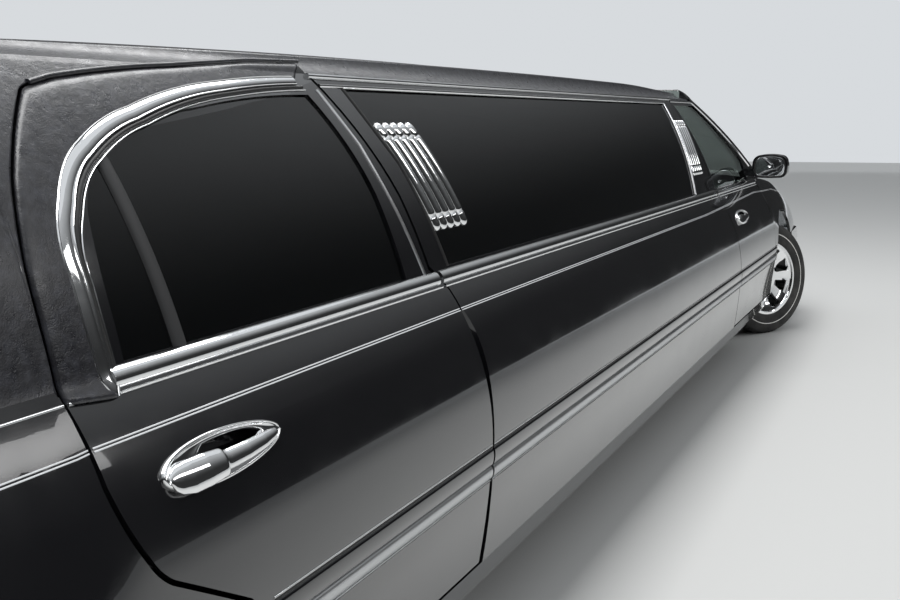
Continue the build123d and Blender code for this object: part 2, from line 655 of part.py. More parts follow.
def build_bumpers():
    """Wrap-round covers, each with a shelf under the lamps and two brackets on the frame rails."""
    for name, x, way, axle, kick, flank in (("front_bumper", NOSE_X, 1, FRONT_AXLE, FRONT_KICK, 20.0),
                                            ("rear_bumper", TAIL_X, -1, REAR_AXLE, TAIL_KICK, 4.0)):
        x_open = axle + way * (ARCH_RADIUS + 14)
        outer = end_prism(x, way, BUMPER, x_open, flank)
        wall_back, wall_side = BUMPER_WALL
        levels = [(z, back + wall_back, inset + wall_side) for z, back, inset in BUMPER]
        levels[0] = (BUMPER_BOTTOM - 20.0,) + levels[0][1:]
        levels[-1] = (BUMPER_TOP - SHELF_THICKNESS,) + levels[-1][1:]
        hollow = end_prism(x, way, levels, x_open - way * 50, flank)
        well = [(z, SHELF_DEPTH, SHELF_DEPTH) for z in (BUMPER_TOP - 60, BUMPER_TOP + 5)]
        cover = outer - hollow - end_prism(x, way, well, x_open - way * 50, flank)
        rail_z = RAIL_BOTTOM + kick
        for s in (1, -1):
            cover = cover.fuse(block(x - way * 260, x - way * 30, s * (RAIL_INNER_Y + 10),
                                     s * (RAIL_OUTER_Y - 10),
                                     rail_z + 15, rail_z + 105) & outer)
        if way == 1:
            for y in (-PLATE_HOLES / 2, PLATE_HOLES / 2):
                cover = cover - bar((x - 90, y, PLATE_Z), (x + 10, y, PLATE_Z), 3.5)
        save(name, cover)


# Greenhouse
def roof_profile(depth):
    """The roof's line seen from the side, falling towards both ends, moved down by a depth."""
    low = RAIL_Z - 50
    return along_y([(ROOF_BACK_X, low), (HEADER_X, low), (HEADER_X, HEADER_Z - depth),
                    (HEADER_X - 800, HEIGHT - depth, 10.0), (ROOF_BACK_X + 800, HEIGHT - depth),
                    (ROOF_BACK_X, ROOF_BACK_Z - depth, 10.0)], -10, HALF_WIDTH)


def build_roof():
    outer = along_x([(0.0, RAIL_Z), (RAIL_HALF, RAIL_Z), (ROOF_EDGE_HALF, ROOF_EDGE_Z, 14.0),
                     (0.0, HEIGHT, 12.0)],
                    ROOF_BACK_X, HEADER_X)
    recess = RAIL_HALF - FRAME_DEPTH - 2
    inner = along_x([(0.0, RAIL_Z - 20), (recess, RAIL_Z - 20), (recess, RAIL_Z + 1),
                     (recess - 56.0, ROOF_EDGE_Z - 30, 14.0), (0.0, HEIGHT - ROOF_SKIN, 12.0)],
                    ROOF_BACK_X + 45, HEADER_X - 45)
    half = (outer & roof_profile(0.0)) - (inner & roof_profile(ROOF_SKIN))
    save("roof_panel", both(half - cutter(REAR_DOOR, TOP_GAP, recess - 6)))


def screen(x_top, z_top, x_base, z_base):
    """A leaning sheet of glass whose sides follow the pillars' inner faces."""
    length = math.hypot(x_base - x_top, z_base - z_top)
    lean = GLASS_THICKNESS / length
    dx, dz = abs(z_top - z_base) * lean * math.copysign(1, x_base - x_top), abs(x_base - x_top) * lean
    sheet = along_y([(x_top, z_top), (x_base, z_base), (x_base - dx, z_base - dz), (x_top - dx, z_top - dz)],
                    0, HALF_WIDTH)
    x0, x1 = min(x_top, x_base) - 100, max(x_top, x_base) + 100
    sides = along_x([(0.0, BELT_Z + 12), (BELT_HALF - FRAME_DEPTH - SEAT_GAP, BELT_Z + 12),
                     (RAIL_HALF - FRAME_DEPTH - SEAT_GAP, RAIL_Z,
                      24.0), (RAIL_HALF - FRAME_DEPTH - SEAT_GAP, HEIGHT),
                     (0.0, HEIGHT)], x0, x1)
    return both(sheet & sides & inside(x0, x1, 0.0))


def build_screens():
    x_top = HEADER_X + GLASS_THICKNESS
    save("windscreen", screen(x_top, screen_z(x_top), SCREEN_BASE_X, SCREEN_BASE_Z))
    save("rear_window",
         screen(ROOF_BACK_X - GLASS_THICKNESS, ROOF_BACK_Z - 8, BACKLIGHT_BASE_X, BACKLIGHT_BASE_Z))


def build_pillars():
    """The windscreen pillars, carried down as the posts that the front doors hang on."""
    slab = side_slab(HEADER_X - 60, SCREEN_BASE_X + 60, BELT_Z + 12, RAIL_Z)
    corner = side_slab(HEADER_X + SEAT_GAP, SCREEN_BASE_X, RAIL_Z, ROOF_EDGE_Z)
    front = along_y([(HEADER_X, HEADER_Z), (screen_x(BELT_Z), BELT_Z), (NOSE_X, BELT_Z), (NOSE_X, HEIGHT),
                     (HEADER_X, HEIGHT)], 0, HALF_WIDTH)
    pillar = slab.fuse(corner) - opening_for_door(FRONT_DOOR)
    inner = HALF_WIDTH - 203
    post = block(POST_X, POST_X + POST_DEPTH, inner, HINGE_Y - 60, SEAM_Z + 100, 800)
    cap = block(POST_X, POST_X + 70, inner, inner + 50, 790, SCREEN_BASE_Z)
    pillar = pillar.fuse(post, cap)
    for z in HINGE_HEIGHTS:
        pillar = pillar.fuse(body_leaf(FRONT_DOOR_FRONT, z))
    save_both("windscreen_pillars", pillar - front)


def build_sills():
    x0, x1 = REAR_AXLE + ARCH_RADIUS + 8, FRONT_AXLE - ARCH_RADIUS - 8
    edge, inner = HALF_WIDTH, FLOOR_HALF + 1
    rows = [(edge - 78, SILL_Z), (edge - 68, SILL_Z + 15), (edge - 35, SEAM_Z), (edge - 155, SEAM_Z),
            (edge - 155, SEAM_Z + 100), (inner, SEAM_Z + 100), (inner, SILL_Z)]
    save_both("sill_panels", along_x(rows, x0, x1))


def build_mirrors():
    """Rounded housings on short arms, each with a recess for its glass."""
    x, rows = FRONT_DOOR_FRONT - 140, moved(MIRROR_SHELL, HALF_WIDTH, 0.0)
    centre = (MIRROR_MIDDLE[0] + HALF_WIDTH, MIRROR_MIDDLE[1])
    stations = ((-30, 0.97), (-20, 1.0), (35, 1.0), (78, 0.62))
    housing = loft_x([(x + ahead, scaled(rows, centre, size)) for ahead, size in stations])
    housing = housing - along_x(scaled(rows, centre, 0.88), x - 31, x - 24)
    arm = block(x + 5, x + 40, HALF_WIDTH - 193, HALF_WIDTH - 98, 968, 1010)
    save_each("door_mirror_{}", housing.fuse(arm) - inside(x - 300, x + 300, 0.0))


# Running gear
def rail_line(height):
    """The frame rail's line from the tail to the nose, as (x, z) rows at a height above its underside."""
    low = RAIL_BOTTOM + height
    return [
        (TAIL_X + 260, low + TAIL_KICK), (REAR_AXLE - 450, low + TAIL_KICK), (REAR_AXLE - 300, low + REAR_KICK),
        (REAR_AXLE + 260, low + REAR_KICK), (REAR_AXLE + 480, low), (FRONT_AXLE - 700, low),
        (FRONT_AXLE - 450, low + FRONT_KICK), (NOSE_X - 260, low + FRONT_KICK),
    ]


def build_frame():
    """Two kicked rails, cross-members between them and outriggers to the sills.

    The straight ends ahead of the front kick and behind the rear kick are welded on face to face.
    """
    frame = both(along_y(rail_line(0.0) + rail_line(RAIL_TOP - RAIL_BOTTOM)[::-1], RAIL_INNER_Y,
                         RAIL_OUTER_Y))
    x0, x1 = REAR_AXLE + 560, FRONT_AXLE - 1120
    for i in range(CROSS_MEMBERS):
        x = x0 + (x1 - x0) * i / (CROSS_MEMBERS - 1)
        frame = frame.fuse(block(x - 35, x + 35, -RAIL_INNER_Y, RAIL_INNER_Y, RAIL_TOP - 38, RAIL_TOP - 8))
        for s in (1, -1):
            frame = frame.fuse(block(x - 35, x + 35, s * RAIL_OUTER_Y, s * (FLOOR_HALF + 1),
                                     RAIL_TOP - 60, RAIL_TOP - 5))
    for x, z in ((TAIL_X + 320, RAIL_BOTTOM + TAIL_KICK + 50), (NOSE_X - 300, RAIL_BOTTOM + FRONT_KICK + 50)):
        frame = frame.fuse(block(x - 30, x + 30, -RAIL_INNER_Y, RAIL_INNER_Y, z, z + 50))
    joints = (TAIL_X, REAR_AXLE - 450, FRONT_AXLE - 700, NOSE_X)
    tail, main, nose = [frame & block(x0, x1, -HALF_WIDTH, HALF_WIDTH, 0, HEIGHT) for x0,
                        x1 in zip(joints, joints[1:])]
    save("ladder_frame", main)
    save("frame_end_sections", tail, nose)


def build_floor():
    """The floor with its firewall, kick-up, rear bulkhead and wheel tubs."""
    top = RAIL_TOP + FLOOR_THICKNESS
    high, boot = top + REAR_KICK + 3, top + TAIL_KICK + 5
    rows = [
        (FIREWALL_X, SCREEN_BASE_Z - 90), (FIREWALL_X, 560), (FRONT_AXLE - 720, top),
        (REAR_AXLE + 492, top), (REAR_AXLE + 270, high), (REAR_AXLE - 320, high),
        (REAR_AXLE - 470, boot), (TAIL_X + 250, boot), (TAIL_X + 250, boot - 12), (REAR_AXLE - 474, boot - 12),
        (REAR_AXLE - 324, high - 13), (REAR_AXLE + 276, high - 13), (REAR_AXLE + 496, top - 12),
        (FRONT_AXLE - 714, top - 12), (FIREWALL_X + 12, 556), (FIREWALL_X + 12, SCREEN_BASE_Z - 90),
    ]
    pan = along_y(rows, -FLOOR_HALF, FLOOR_HALF)
    inset = SHELF_DEPTH + 3
    shelf = block(TAIL_X, TAIL_X + PLAN_DEPTH + inset, -HALF_WIDTH, HALF_WIDTH, boot - 20, boot + 10)
    shelf = shelf - end_prism(TAIL_X, -1, [(boot - 30, inset, inset), (boot + 20, inset, inset)],
                              REAR_AXLE - 300, 4.0)
    pan = pan - shelf
    room, wall_y = ARCH_RADIUS - 4, REAR_TRACK / 2 - TYRE_WIDTH / 2 - WHEEL_ROOM
    hole = Solid.make_cylinder(room, 400, Plane((REAR_AXLE, wall_y + 10, ARCH_Z), z_dir=(0, 1, 0)))
    post_room = block(FRONT_AXLE - 800, FRONT_AXLE, HALF_WIDTH - 258, HALF_WIDTH, 470, HEIGHT)
    pan = pan - hole - mirrored(hole) - post_room - mirrored(post_room)
    pan = pan.fuse(block(BULKHEAD_X, BULKHEAD_X + 12, -wall_y, wall_y, high - 8, 1010))
    tub = Solid.make_cylinder(room + 8, HALF_WIDTH - 51 - wall_y,
                              Plane((REAR_AXLE, wall_y, ARCH_Z), z_dir=(0, 1, 0)))
    tub = tub - Solid.make_cylinder(room, 400, Plane((REAR_AXLE, wall_y + 8, ARCH_Z), z_dir=(0, 1, 0)))
    tub = tub & block(REAR_AXLE - 500, REAR_AXLE + 500, wall_y - 80, HALF_WIDTH - 88, ARCH_Z - 60, 900)
    tub = tub - block(REAR_AXLE - 60, REAR_AXLE + 60, wall_y - 80, wall_y + 20, 200, ARCH_Z + 120)
    save("floor_pan", pan.fuse(tub, mirrored(tub)))


def wheel_parts():
    """Tyre and rim about the Y axis, outer face towards +Y, centred on the tyre."""
    half, tread, well = TYRE_WIDTH / 2, TYRE_RADIUS, RIM_RADIUS - RIM_WALL
    bead = half - 16
    tyre = ring([(RIM_RADIUS, -bead), (RIM_RADIUS + 34, -half + 4, 4), (tread - 30, -half + 6, 3),
                 (tread, -half + 28, 6),
                 (tread, half - 28), (tread - 30, half - 6, 6), (RIM_RADIUS + 34, half - 4,
                                                                 3), (RIM_RADIUS, bead, 4)])
    barrel = ring([(RIM_RADIUS, -bead), (RIM_RADIUS, bead + 7), (well, bead + 7), (well - 2, -bead)])
    face = ring([(0.0, half - 52), (48.0, half - 56), (92.0, half - 70), (150.0, half - 64),
                 (well + 4, half - 44),
                 (well + 4, half - 22), (150.0, half - 44, 5), (92.0, half - 50), (64.0, half - 46), (48.0, half - 30, -4),
                 (0.0, half - 26)])
    for i in range(SPOKES):
        window = along_y([(-15.0, 94.0), (15.0, 94.0), (42.0, 184.0), (-42.0, 184.0, 6.0)], 0, half)
        face = face - window.rotate(Axis.Y, 360.0 * (i + 0.5) / SPOKES)
    hub = ring([(0.0, HUB_BACK), (75.0, HUB_BACK), (75.0, half - 60), (0.0, half - 45)])
    disc = ring([(60.0, HUB_BACK + 20), (DISC_RADIUS, HUB_BACK + 20), (DISC_RADIUS, HUB_BACK + 42),
                 (60.0, HUB_BACK + 42)])
    return tyre, barrel.fuse(face, hub, disc)


def steering_knuckle():
    """A left knuckle: an upright between two ball joints and a spindle out to the hub."""
    low, high = TYRE_RADIUS - BALL_JOINT_HEIGHT, TYRE_RADIUS + BALL_JOINT_HEIGHT
    knuckle = block(-28, 28, KINGPIN_Y - 62, KINGPIN_Y - 22, low, high)
    for z in (low, high - 24):
        knuckle = knuckle.fuse(block(-24, 24, KINGPIN_Y - 40, KINGPIN_Y, z, z + 24),
                               upright(22, 0, KINGPIN_Y, z, z + 24))
    end = FRONT_TRACK / 2 + HUB_BACK - SEAT_GAP
    return knuckle.fuse(bar((0, KINGPIN_Y - 40, TYRE_RADIUS), (0, end, TYRE_RADIUS), 34))


def steered(shape, side):
    """A piece at the front axle on one side, turned to the right about its kingpin."""
    placed = shape.translate(Vector(FRONT_AXLE, 0, 0))
    if side == -1:
        placed = mirrored(placed)
    return placed.rotate(Axis((FRONT_AXLE, side * KINGPIN_Y, 0), (0, 0, 1)), -STEER_AT_REST)


def build_wheels():
    knuckle = steering_knuckle()
    for label, shape in zip(("tyre", "rim"), wheel_parts()):
        front = shape.translate(Vector(0, FRONT_TRACK / 2, TYRE_RADIUS))
        for side, s in (("left", 1), ("right", -1)):
            save(f"front_{side}_{label}", steered(front, s))
        save_each("rear_{}_" + label, shape.translate(Vector(REAR_AXLE, REAR_TRACK / 2, TYRE_RADIUS)))
    for side, s in (("left", 1), ("right", -1)):
        save(f"knuckle_{side}", steered(knuckle, s))


def build_suspension():
    """The front crossmember and the upper and lower arms that the knuckles turn on."""
    low = TYRE_RADIUS - BALL_JOINT_HEIGHT - SEAT_GAP
    high = TYRE_RADIUS + BALL_JOINT_HEIGHT + SEAT_GAP
    x, root, side = FRONT_AXLE, RAIL_OUTER_Y + 10, []
    for z0, z1 in ((low - 24, low), (high, high + 24)):
        side.append(upright(24, x, KINGPIN_Y, z0, z1))
        side.append(along_z([(x - 26, root + 150), (x + 26, root + 150), (x + 24, KINGPIN_Y),
                             (x - 24, KINGPIN_Y)], z0, z1))
        side.append(along_z([(x - 150, root), (x + 150, root), (x + 26, root + 170),
                             (x - 26, root + 170)], z0, z1))
    for dx in (-130, 110):
        side.append(block(x + dx, x + dx + 20, RAIL_OUTER_Y, root + 20, low - 24, high + 24))
    beam = block(x - 70, x + 70, -RAIL_INNER_Y - 20, RAIL_INNER_Y + 20, RAIL_BOTTOM + 5,
                 RAIL_BOTTOM + FRONT_KICK)
    save("front_suspension", beam.fuse(*side, *[mirrored(piece) for piece in side]))


def build_rear_axle():
    """A solid axle with its differential and the spring seats under the rails."""
    end = REAR_TRACK / 2 + HUB_BACK - SEAT_GAP
    tube = bar((REAR_AXLE, -end, TYRE_RADIUS), (REAR_AXLE, end, TYRE_RADIUS), 38)
    nose = bar((REAR_AXLE, 0, TYRE_RADIUS), (REAR_AXLE + 300, 0, SHAFT_Z - 10), 45)
    nose = nose & block(REAR_AXLE, REAR_AXLE + 230, -100, 100, 150, 500)
    spring = upright(55, REAR_AXLE, (RAIL_INNER_Y + RAIL_OUTER_Y) / 2, TYRE_RADIUS + 20,
                     RAIL_BOTTOM + REAR_KICK)
    casing = Solid.make_sphere(132).translate(Vector(REAR_AXLE, 0, TYRE_RADIUS))
    save("rear_axle", tube.fuse(casing, nose, spring, mirrored(spring)))


def build_driveline():
    gearbox_back, gearbox_front = FRONT_AXLE - 1059, FRONT_AXLE - 330
    save("engine_block", block(gearbox_front, FRONT_AXLE + 260, -270, 270, RAIL_BOTTOM + FRONT_KICK, 800))
    save("gearbox", block(gearbox_back, gearbox_front, -150, 150, 240, RAIL_TOP - 7))
    save("propeller_shaft", bar((REAR_AXLE + 230, 0, SHAFT_Z), (gearbox_back, 0, SHAFT_Z), 32))
    pipe_z = RAIL_TOP - 38 - 30 - SEAT_GAP
    y = RAIL_INNER_Y - 140
    pipe = bar((FRONT_AXLE - 900, y, pipe_z), (REAR_AXLE + 720, y, pipe_z), 30)
    silencer = block(REAR_AXLE + 720, REAR_AXLE + 1300, RAIL_INNER_Y - 210, RAIL_INNER_Y - 40, 225, 310)
    save("exhaust_system", pipe.fuse(silencer))
    tank_top = RAIL_TOP + FLOOR_THICKNESS + TAIL_KICK - 7 - SEAT_GAP
    save("fuel_tank",
         block(REAR_AXLE - 1000, REAR_AXLE - 480, 10 - RAIL_INNER_Y, RAIL_INNER_Y - 10, 400, tank_top))


# Cabin
COLUMN_TOP = (FRONT_AXLE - 905, 370.0, 862.0)
SEAT_Y = COLUMN_TOP[1]
CUSHION_Z = 640.0
CABIN_HALF = HALF_WIDTH - 293.0
WHEEL_TUBE = 14.0


def build_front_cabin(floor):
    x, wide = FIREWALL_X, HALF_WIDTH - 273
    dash = along_y([(x, 640), (x - 280, 640), (x - 320, 800), (x - 260, 900, 8.0), (x, 940)], -wide, wide)
    save("dashboard", dash.fuse(bar((x - 280, SEAT_Y, 800), COLUMN_TOP, 28)))
    x, seats = FRONT_AXLE - 1480, []
    for y in (SEAT_Y, -SEAT_Y):
        base = block(x, x + 520, y - 250, y + 250, floor, CUSHION_Z)
        seats.append(base.fuse(along_y([(x - 10, CUSHION_Z), (x + 120, CUSHION_Z), (x - 60, 1180),
                                        (x - 160, 1180)],
                                       y - 240, y + 240)))
    save("front_seats", *seats)


def build_lounge(floor):
    x, wide, end = REAR_AXLE, CABIN_HALF, FRONT_DOOR_BACK - 400
    bench = along_y([(x + 525, floor), (x + 950, floor), (x + 950, 700), (x + 480, 700), (x + 480, 500)],
                    -wide, wide)
    back = along_y([(x + 300, 640), (x + 480, 640), (x + 480, 700), (x + 330, 1130), (x + 220, 1130)],
                   60 - wide, wide - 60)
    side = block(x + 951, end, wide - 400, wide, floor,
                 700).fuse(block(x + 951, end, wide - 100, wide, 690, 900))
    save("lounge_seats", bench.fuse(back, side))
    save("bar_cabinet", block(x + 2000, end - 450, -wide, 350 - wide, floor, 850))
    save("partition", along_x([(-wide, floor), (wide, floor), (wide + 60, 900), (RAIL_HALF - 50, RAIL_Z - 40),
                               (50 - RAIL_HALF, RAIL_Z - 40), (-wide - 60, 900)],
                              FRONT_DOOR_BACK - 215, FRONT_DOOR_BACK - 185))


def build_steering_wheel():
    axis = Vector(-145, 0, 62).normalized()
    centre = Vector(*COLUMN_TOP) + axis * (SEAT_GAP + WHEEL_TUBE)
    plane = Plane(origin=centre, z_dir=axis)
    hub = Solid.make_cylinder(45, 2 * WHEEL_TUBE, Plane(origin=centre - axis * WHEEL_TUBE, z_dir=axis))
    save("steering_wheel",
         Solid.make_torus(180, WHEEL_TUBE, plane).fuse(hub, plane.location * Box(350, 30, 12)))


build_frame()
build_floor()
build_sills()
build_roof()
build_screens()
build_pillars()
build_side_panels()
build_window_bars()
build_front_end()
build_rear_end()
build_bumpers()
build_doors()
build_mirrors()
build_wheels()
build_suspension()
build_rear_axle()
build_driveline()
build_front_cabin(RAIL_TOP + FLOOR_THICKNESS + SEAT_GAP)
build_lounge(RAIL_TOP + FLOOR_THICKNESS + SEAT_GAP)
build_steering_wheel()
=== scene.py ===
# %% [markdown]
# A long black limousine is one body of bent sheet metal with glass, bright trim and rubber set into it. Its
# doors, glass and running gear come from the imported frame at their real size. This lesson gives them their
# finish, and works out the roof, trim, tyres and seats again as smooth surfaces from a few lines of the body.

# %% Load the frame
import bmesh
import bpy
import math
import numpy as np
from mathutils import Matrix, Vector
from mathutils.bvhtree import BVHTree


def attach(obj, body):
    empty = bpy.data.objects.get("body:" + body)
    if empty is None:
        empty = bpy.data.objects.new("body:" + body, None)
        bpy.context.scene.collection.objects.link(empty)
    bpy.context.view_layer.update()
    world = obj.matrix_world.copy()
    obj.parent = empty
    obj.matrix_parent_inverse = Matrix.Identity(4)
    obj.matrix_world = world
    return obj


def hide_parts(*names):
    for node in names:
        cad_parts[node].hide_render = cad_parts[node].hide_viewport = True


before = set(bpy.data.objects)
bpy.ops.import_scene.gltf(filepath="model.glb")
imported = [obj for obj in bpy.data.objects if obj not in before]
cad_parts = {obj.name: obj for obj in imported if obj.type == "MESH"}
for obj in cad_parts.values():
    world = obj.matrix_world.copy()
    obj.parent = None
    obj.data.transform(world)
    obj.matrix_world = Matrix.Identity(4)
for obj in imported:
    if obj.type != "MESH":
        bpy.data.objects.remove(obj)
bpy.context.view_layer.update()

# %% [markdown]
# The camera stands behind the right rear wheel, a little above the door handles, and looks forward along
# the car. The view is a cut from a wider picture. Turning the camera towards the door would frame it too, but
# would tip the pillars, so the lens is shifted instead: the walls stay upright while the side runs away.

# %% Camera
PHOTO_WIDTH, PHOTO_HEIGHT = 900, 600
FOCAL_PIXELS = 1151.9
CENTRE_PIXEL = (659.8, 120.2)
EYE = (-3.713, -2.006, 1.294)
YAW, PITCH = 0.254, -0.002

camera_data = bpy.data.cameras.new("camera")
camera = bpy.data.objects.new("camera", camera_data)
bpy.context.scene.collection.objects.link(camera)
camera_data.sensor_width = 36.0
camera_data.lens = camera_data.sensor_width * FOCAL_PIXELS / PHOTO_WIDTH
camera_data.shift_x = (PHOTO_WIDTH / 2 - CENTRE_PIXEL[0]) / PHOTO_WIDTH
camera_data.shift_y = (CENTRE_PIXEL[1] - PHOTO_HEIGHT / 2) / PHOTO_WIDTH
camera_data.clip_end = 200.0
camera.location = EYE
camera.rotation_euler = (math.pi / 2 + PITCH, 0.0, YAW - math.pi / 2)
bpy.context.scene.camera = camera
print("lens", round(camera_data.lens, 2))
print("shift", round(camera_data.shift_x, 3), round(camera_data.shift_y, 3))

# %% [markdown]
# Black lacquer shows only what it mirrors, so the room matters as much as the paint. Large soft lamps above
# and beside the car give long bright bands, and a pale floor lights the lower panels from below. Small lamps
# would leave hard spots in the paint, and a plain bright world would wash the black out.

# %% Lamps
LAMPS = [
    # name, power, width, length, place, point that it faces
    ("ceiling", 620.0, 3.0, 12.0, (0.0, 0.0, 7.0), (0.0, 0.0, 0.0)),
    ("right_side", 170.0, 1.2, 14.0, (1.0, -9.0, 6.5), (0.5, 0.0, 0.7)),
    ("left_side", 150.0, 1.2, 14.0, (0.0, 9.0, 6.5), (0.0, 0.0, 0.7)),
]


def add_lamp(name, power, width, length, place, target):
    """A soft rectangular lamp whose long side runs along the car."""
    data = bpy.data.lights.new(name, "AREA")
    data.shape = "RECTANGLE"
    data.size, data.size_y = length, width
    data.energy = power
    lamp = bpy.data.objects.new(name, data)
    lamp.location = place
    lamp.rotation_euler = (Vector(target) - Vector(place)).to_track_quat("-Z", "Y").to_euler()
    bpy.context.scene.collection.objects.link(lamp)


for row in LAMPS:
    add_lamp(*row)
print("lamps", len(LAMPS))


# %% Floor
def room_piece(name, finish_name, verts, faces, colour, roughness):
    """A mesh that stands round the car, and the shader of its plain finish."""
    mesh = bpy.data.meshes.new(name)
    mesh.from_pydata(verts, [], faces)
    thing = bpy.data.objects.new(name, mesh)
    bpy.context.scene.collection.objects.link(thing)
    material = bpy.data.materials.new(finish_name)
    material.use_nodes = True
    mesh.materials.append(material)
    shader = material.node_tree.nodes["Principled BSDF"]
    shader.inputs["Base Color"].default_value = (*colour, 1)
    shader.inputs["Roughness"].default_value = roughness
    return thing, shader


FLOOR_REACH = 30.0
floor_corners = [(x * FLOOR_REACH, y * FLOOR_REACH, 0) for x, y in ((-1, -1), (1, -1), (1, 1), (-1, 1))]
floor, _ = room_piece("floor", "pale_floor", floor_corners, [(0, 1, 2, 3)], (0.50, 0.50, 0.49), 0.6)
print("floor", 2 * FLOOR_REACH, "m square")

# %% [markdown]
# A studio for cars hangs dark cards round them, so that black sides mirror something darker than the room.
# Here one ring of cards, nearly black at its foot and grey at its top, is seen by reflections alone. A darker
# world would do the same to the paint, but would take the light from everything else.

# %% Cards
CARD_COUNT, CARD_AT, CARD_STRETCH, CARD_LOW, CARD_HIGH = 64, 13.0, 1.9, 0.35, 16.0
FADE_FROM, CARD_DARK, CARD_GREY = 4.0, 0.03, 0.70
card_turn = np.linspace(0.0, 2 * math.pi, CARD_COUNT + 1)[:-1]
ring_x, ring_y = CARD_STRETCH * CARD_AT * np.cos(card_turn), CARD_AT * np.sin(card_turn)
card_verts = [(x, y, z) for z in (CARD_LOW, CARD_HIGH) for x, y in zip(ring_x, ring_y)]
card_ends = [(i, (i + 1) % CARD_COUNT) for i in range(CARD_COUNT)]
card_faces = [(i, j, CARD_COUNT + j, CARD_COUNT + i) for i, j in card_ends]
cards, card_shader = room_piece("dark_cards", "dark_card", card_verts, card_faces, (0.8, 0.8, 0.8), 1.0)
cards.visible_camera = cards.visible_diffuse = cards.visible_shadow = cards.visible_transmission = False
card_tree = card_shader.id_data
card_place = card_tree.nodes.new("ShaderNodeTexCoord")
card_axes = card_tree.nodes.new("ShaderNodeSeparateXYZ")
card_fade = card_tree.nodes.new("ShaderNodeMapRange")
card_fade.interpolation_type = "SMOOTHSTEP"
for key, value in (("From Min", FADE_FROM), ("From Max", CARD_HIGH), ("To Min", CARD_DARK),
                   ("To Max", CARD_GREY)):
    card_fade.inputs[key].default_value = value
card_tree.links.new(card_place.outputs["Object"], card_axes.inputs["Vector"])
card_tree.links.new(card_axes.outputs["Z"], card_fade.inputs["Value"])
card_tree.links.new(card_fade.outputs["Result"], card_shader.inputs["Base Color"])
print("cards", len(card_faces))

# %% World
world = bpy.data.worlds.new("studio")
bpy.context.scene.world = world
world.use_nodes = True
world.node_tree.nodes["Background"].inputs["Color"].default_value = (0.8, 0.83, 0.86, 1)
world.node_tree.nodes["Background"].inputs["Strength"].default_value = 0.85
bpy.context.scene.view_settings.view_transform = "Standard"
print("world", world.name)

# %% [markdown]
# Every finish is one principled shader whose plain values sit on its own sockets. What varies over a real
# surface, such as grain, ripple or dust, comes from noise on the object's own coordinates. Painted images
# would need unwrapping, while noise in metres fits a door handle and a nine metre body alike.

# %% Helpers for finishes
def finish(name, colour, roughness, slot=None, **sockets):
    """A principled material for a slot; each further value goes to the socket that its name stands for."""
    material = bpy.data.materials.new(name)
    material["slot"] = slot or name
    material.use_nodes = True
    shader = material.node_tree.nodes["Principled BSDF"]
    shader.inputs["Base Color"].default_value = (*colour, 1.0)
    shader.inputs["Roughness"].default_value = roughness
    for key, value in sockets.items():
        shader.inputs[key.replace("_", " ").title().replace("Ior", "IOR")].default_value = value
    return material


def noise(material, scale, detail=3.0, stretch=(1.0, 1.0, 1.0), kind="ShaderNodeTexNoise"):
    """A noise or cell texture on object coordinates, scale in cells per metre."""
    tree = material.node_tree
    place = tree.nodes.new("ShaderNodeTexCoord")
    turn = tree.nodes.new("ShaderNodeMapping")
    turn.inputs["Scale"].default_value = stretch
    texture = tree.nodes.new(kind)
    texture.inputs["Scale"].default_value = scale
    if kind == "ShaderNodeTexNoise":
        texture.inputs["Detail"].default_value = detail
    tree.links.new(place.outputs["Object"], turn.inputs["Vector"])
    tree.links.new(turn.outputs["Vector"], texture.inputs["Vector"])
    return texture.outputs[0]


def relief(material, height, distance, strength=1.0):
    """A bump from a height output, laid over any bump that the material has already."""
    tree = material.node_tree
    shader = tree.nodes["Principled BSDF"]
    bump = tree.nodes.new("ShaderNodeBump")
    bump.inputs["Strength"].default_value = strength
    bump.inputs["Distance"].default_value = distance
    tree.links.new(height, bump.inputs["Height"])
    if shader.inputs["Normal"].links:
        tree.links.new(shader.inputs["Normal"].links[0].from_socket, bump.inputs["Normal"])
    tree.links.new(bump.outputs["Normal"], shader.inputs["Normal"])


def spread(material, socket, source, low, high, start=0.35, end=0.65):
    """Runs a socket from low to high as the source goes from start to end."""
    tree = material.node_tree
    if isinstance(low, tuple):
        ramp = tree.nodes.new("ShaderNodeValToRGB")
        for stop, place, colour in zip(ramp.color_ramp.elements, (start, end), (low, high)):
            stop.position = place
            stop.color = (*colour, 1.0)
        tree.links.new(source, ramp.inputs["Fac"])
        result = ramp.outputs["Color"]
    else:
        ramp = tree.nodes.new("ShaderNodeMapRange")
        for key, value in zip(("From Min", "From Max", "To Min", "To Max"), (start, end, low, high)):
            ramp.inputs[key].default_value = value
        tree.links.new(source, ramp.inputs["Value"])
        result = ramp.outputs["Result"]
    tree.links.new(result, tree.nodes["Principled BSDF"].inputs[socket])
    return result


print("sockets of a principled shader", len(card_shader.inputs))

# %% [markdown]
# The lacquer is nearly black under a clear coat. A real coat is never quite flat: a fine orange peel breaks
# up the edges of a reflection, and the long hand-made panels also have slow waves in them. Both could be
# pushed into the mesh, but they are far below a millimetre, so two bumps of noise do it.

# %% Lacquer, chrome and glass
black_paint = finish("black_paint", (0.006, 0.006, 0.007), 0.12, coat_weight=1.0, coat_roughness=0.015)
relief(black_paint, noise(black_paint, 420.0, 2.0), 0.00004)
relief(black_paint, noise(black_paint, 3.2, 1.0, (0.6, 1.0, 1.6)), 0.004)
spread(black_paint, "Roughness", noise(black_paint, 9.0), 0.08, 0.16)

chrome = finish("chrome", (0.93, 0.935, 0.94), 0.05, metallic=1.0)
relief(chrome, noise(chrome, 30.0, 2.0), 0.00012)
spread(chrome, "Roughness", noise(chrome, 60.0, 5.0), 0.03, 0.09)

satin_metal = finish("satin_metal", (0.55, 0.56, 0.57), 0.32, "chrome", metallic=1.0)
relief(satin_metal, noise(satin_metal, 300.0, 3.0, (0.05, 1.0, 1.0)), 0.00006)

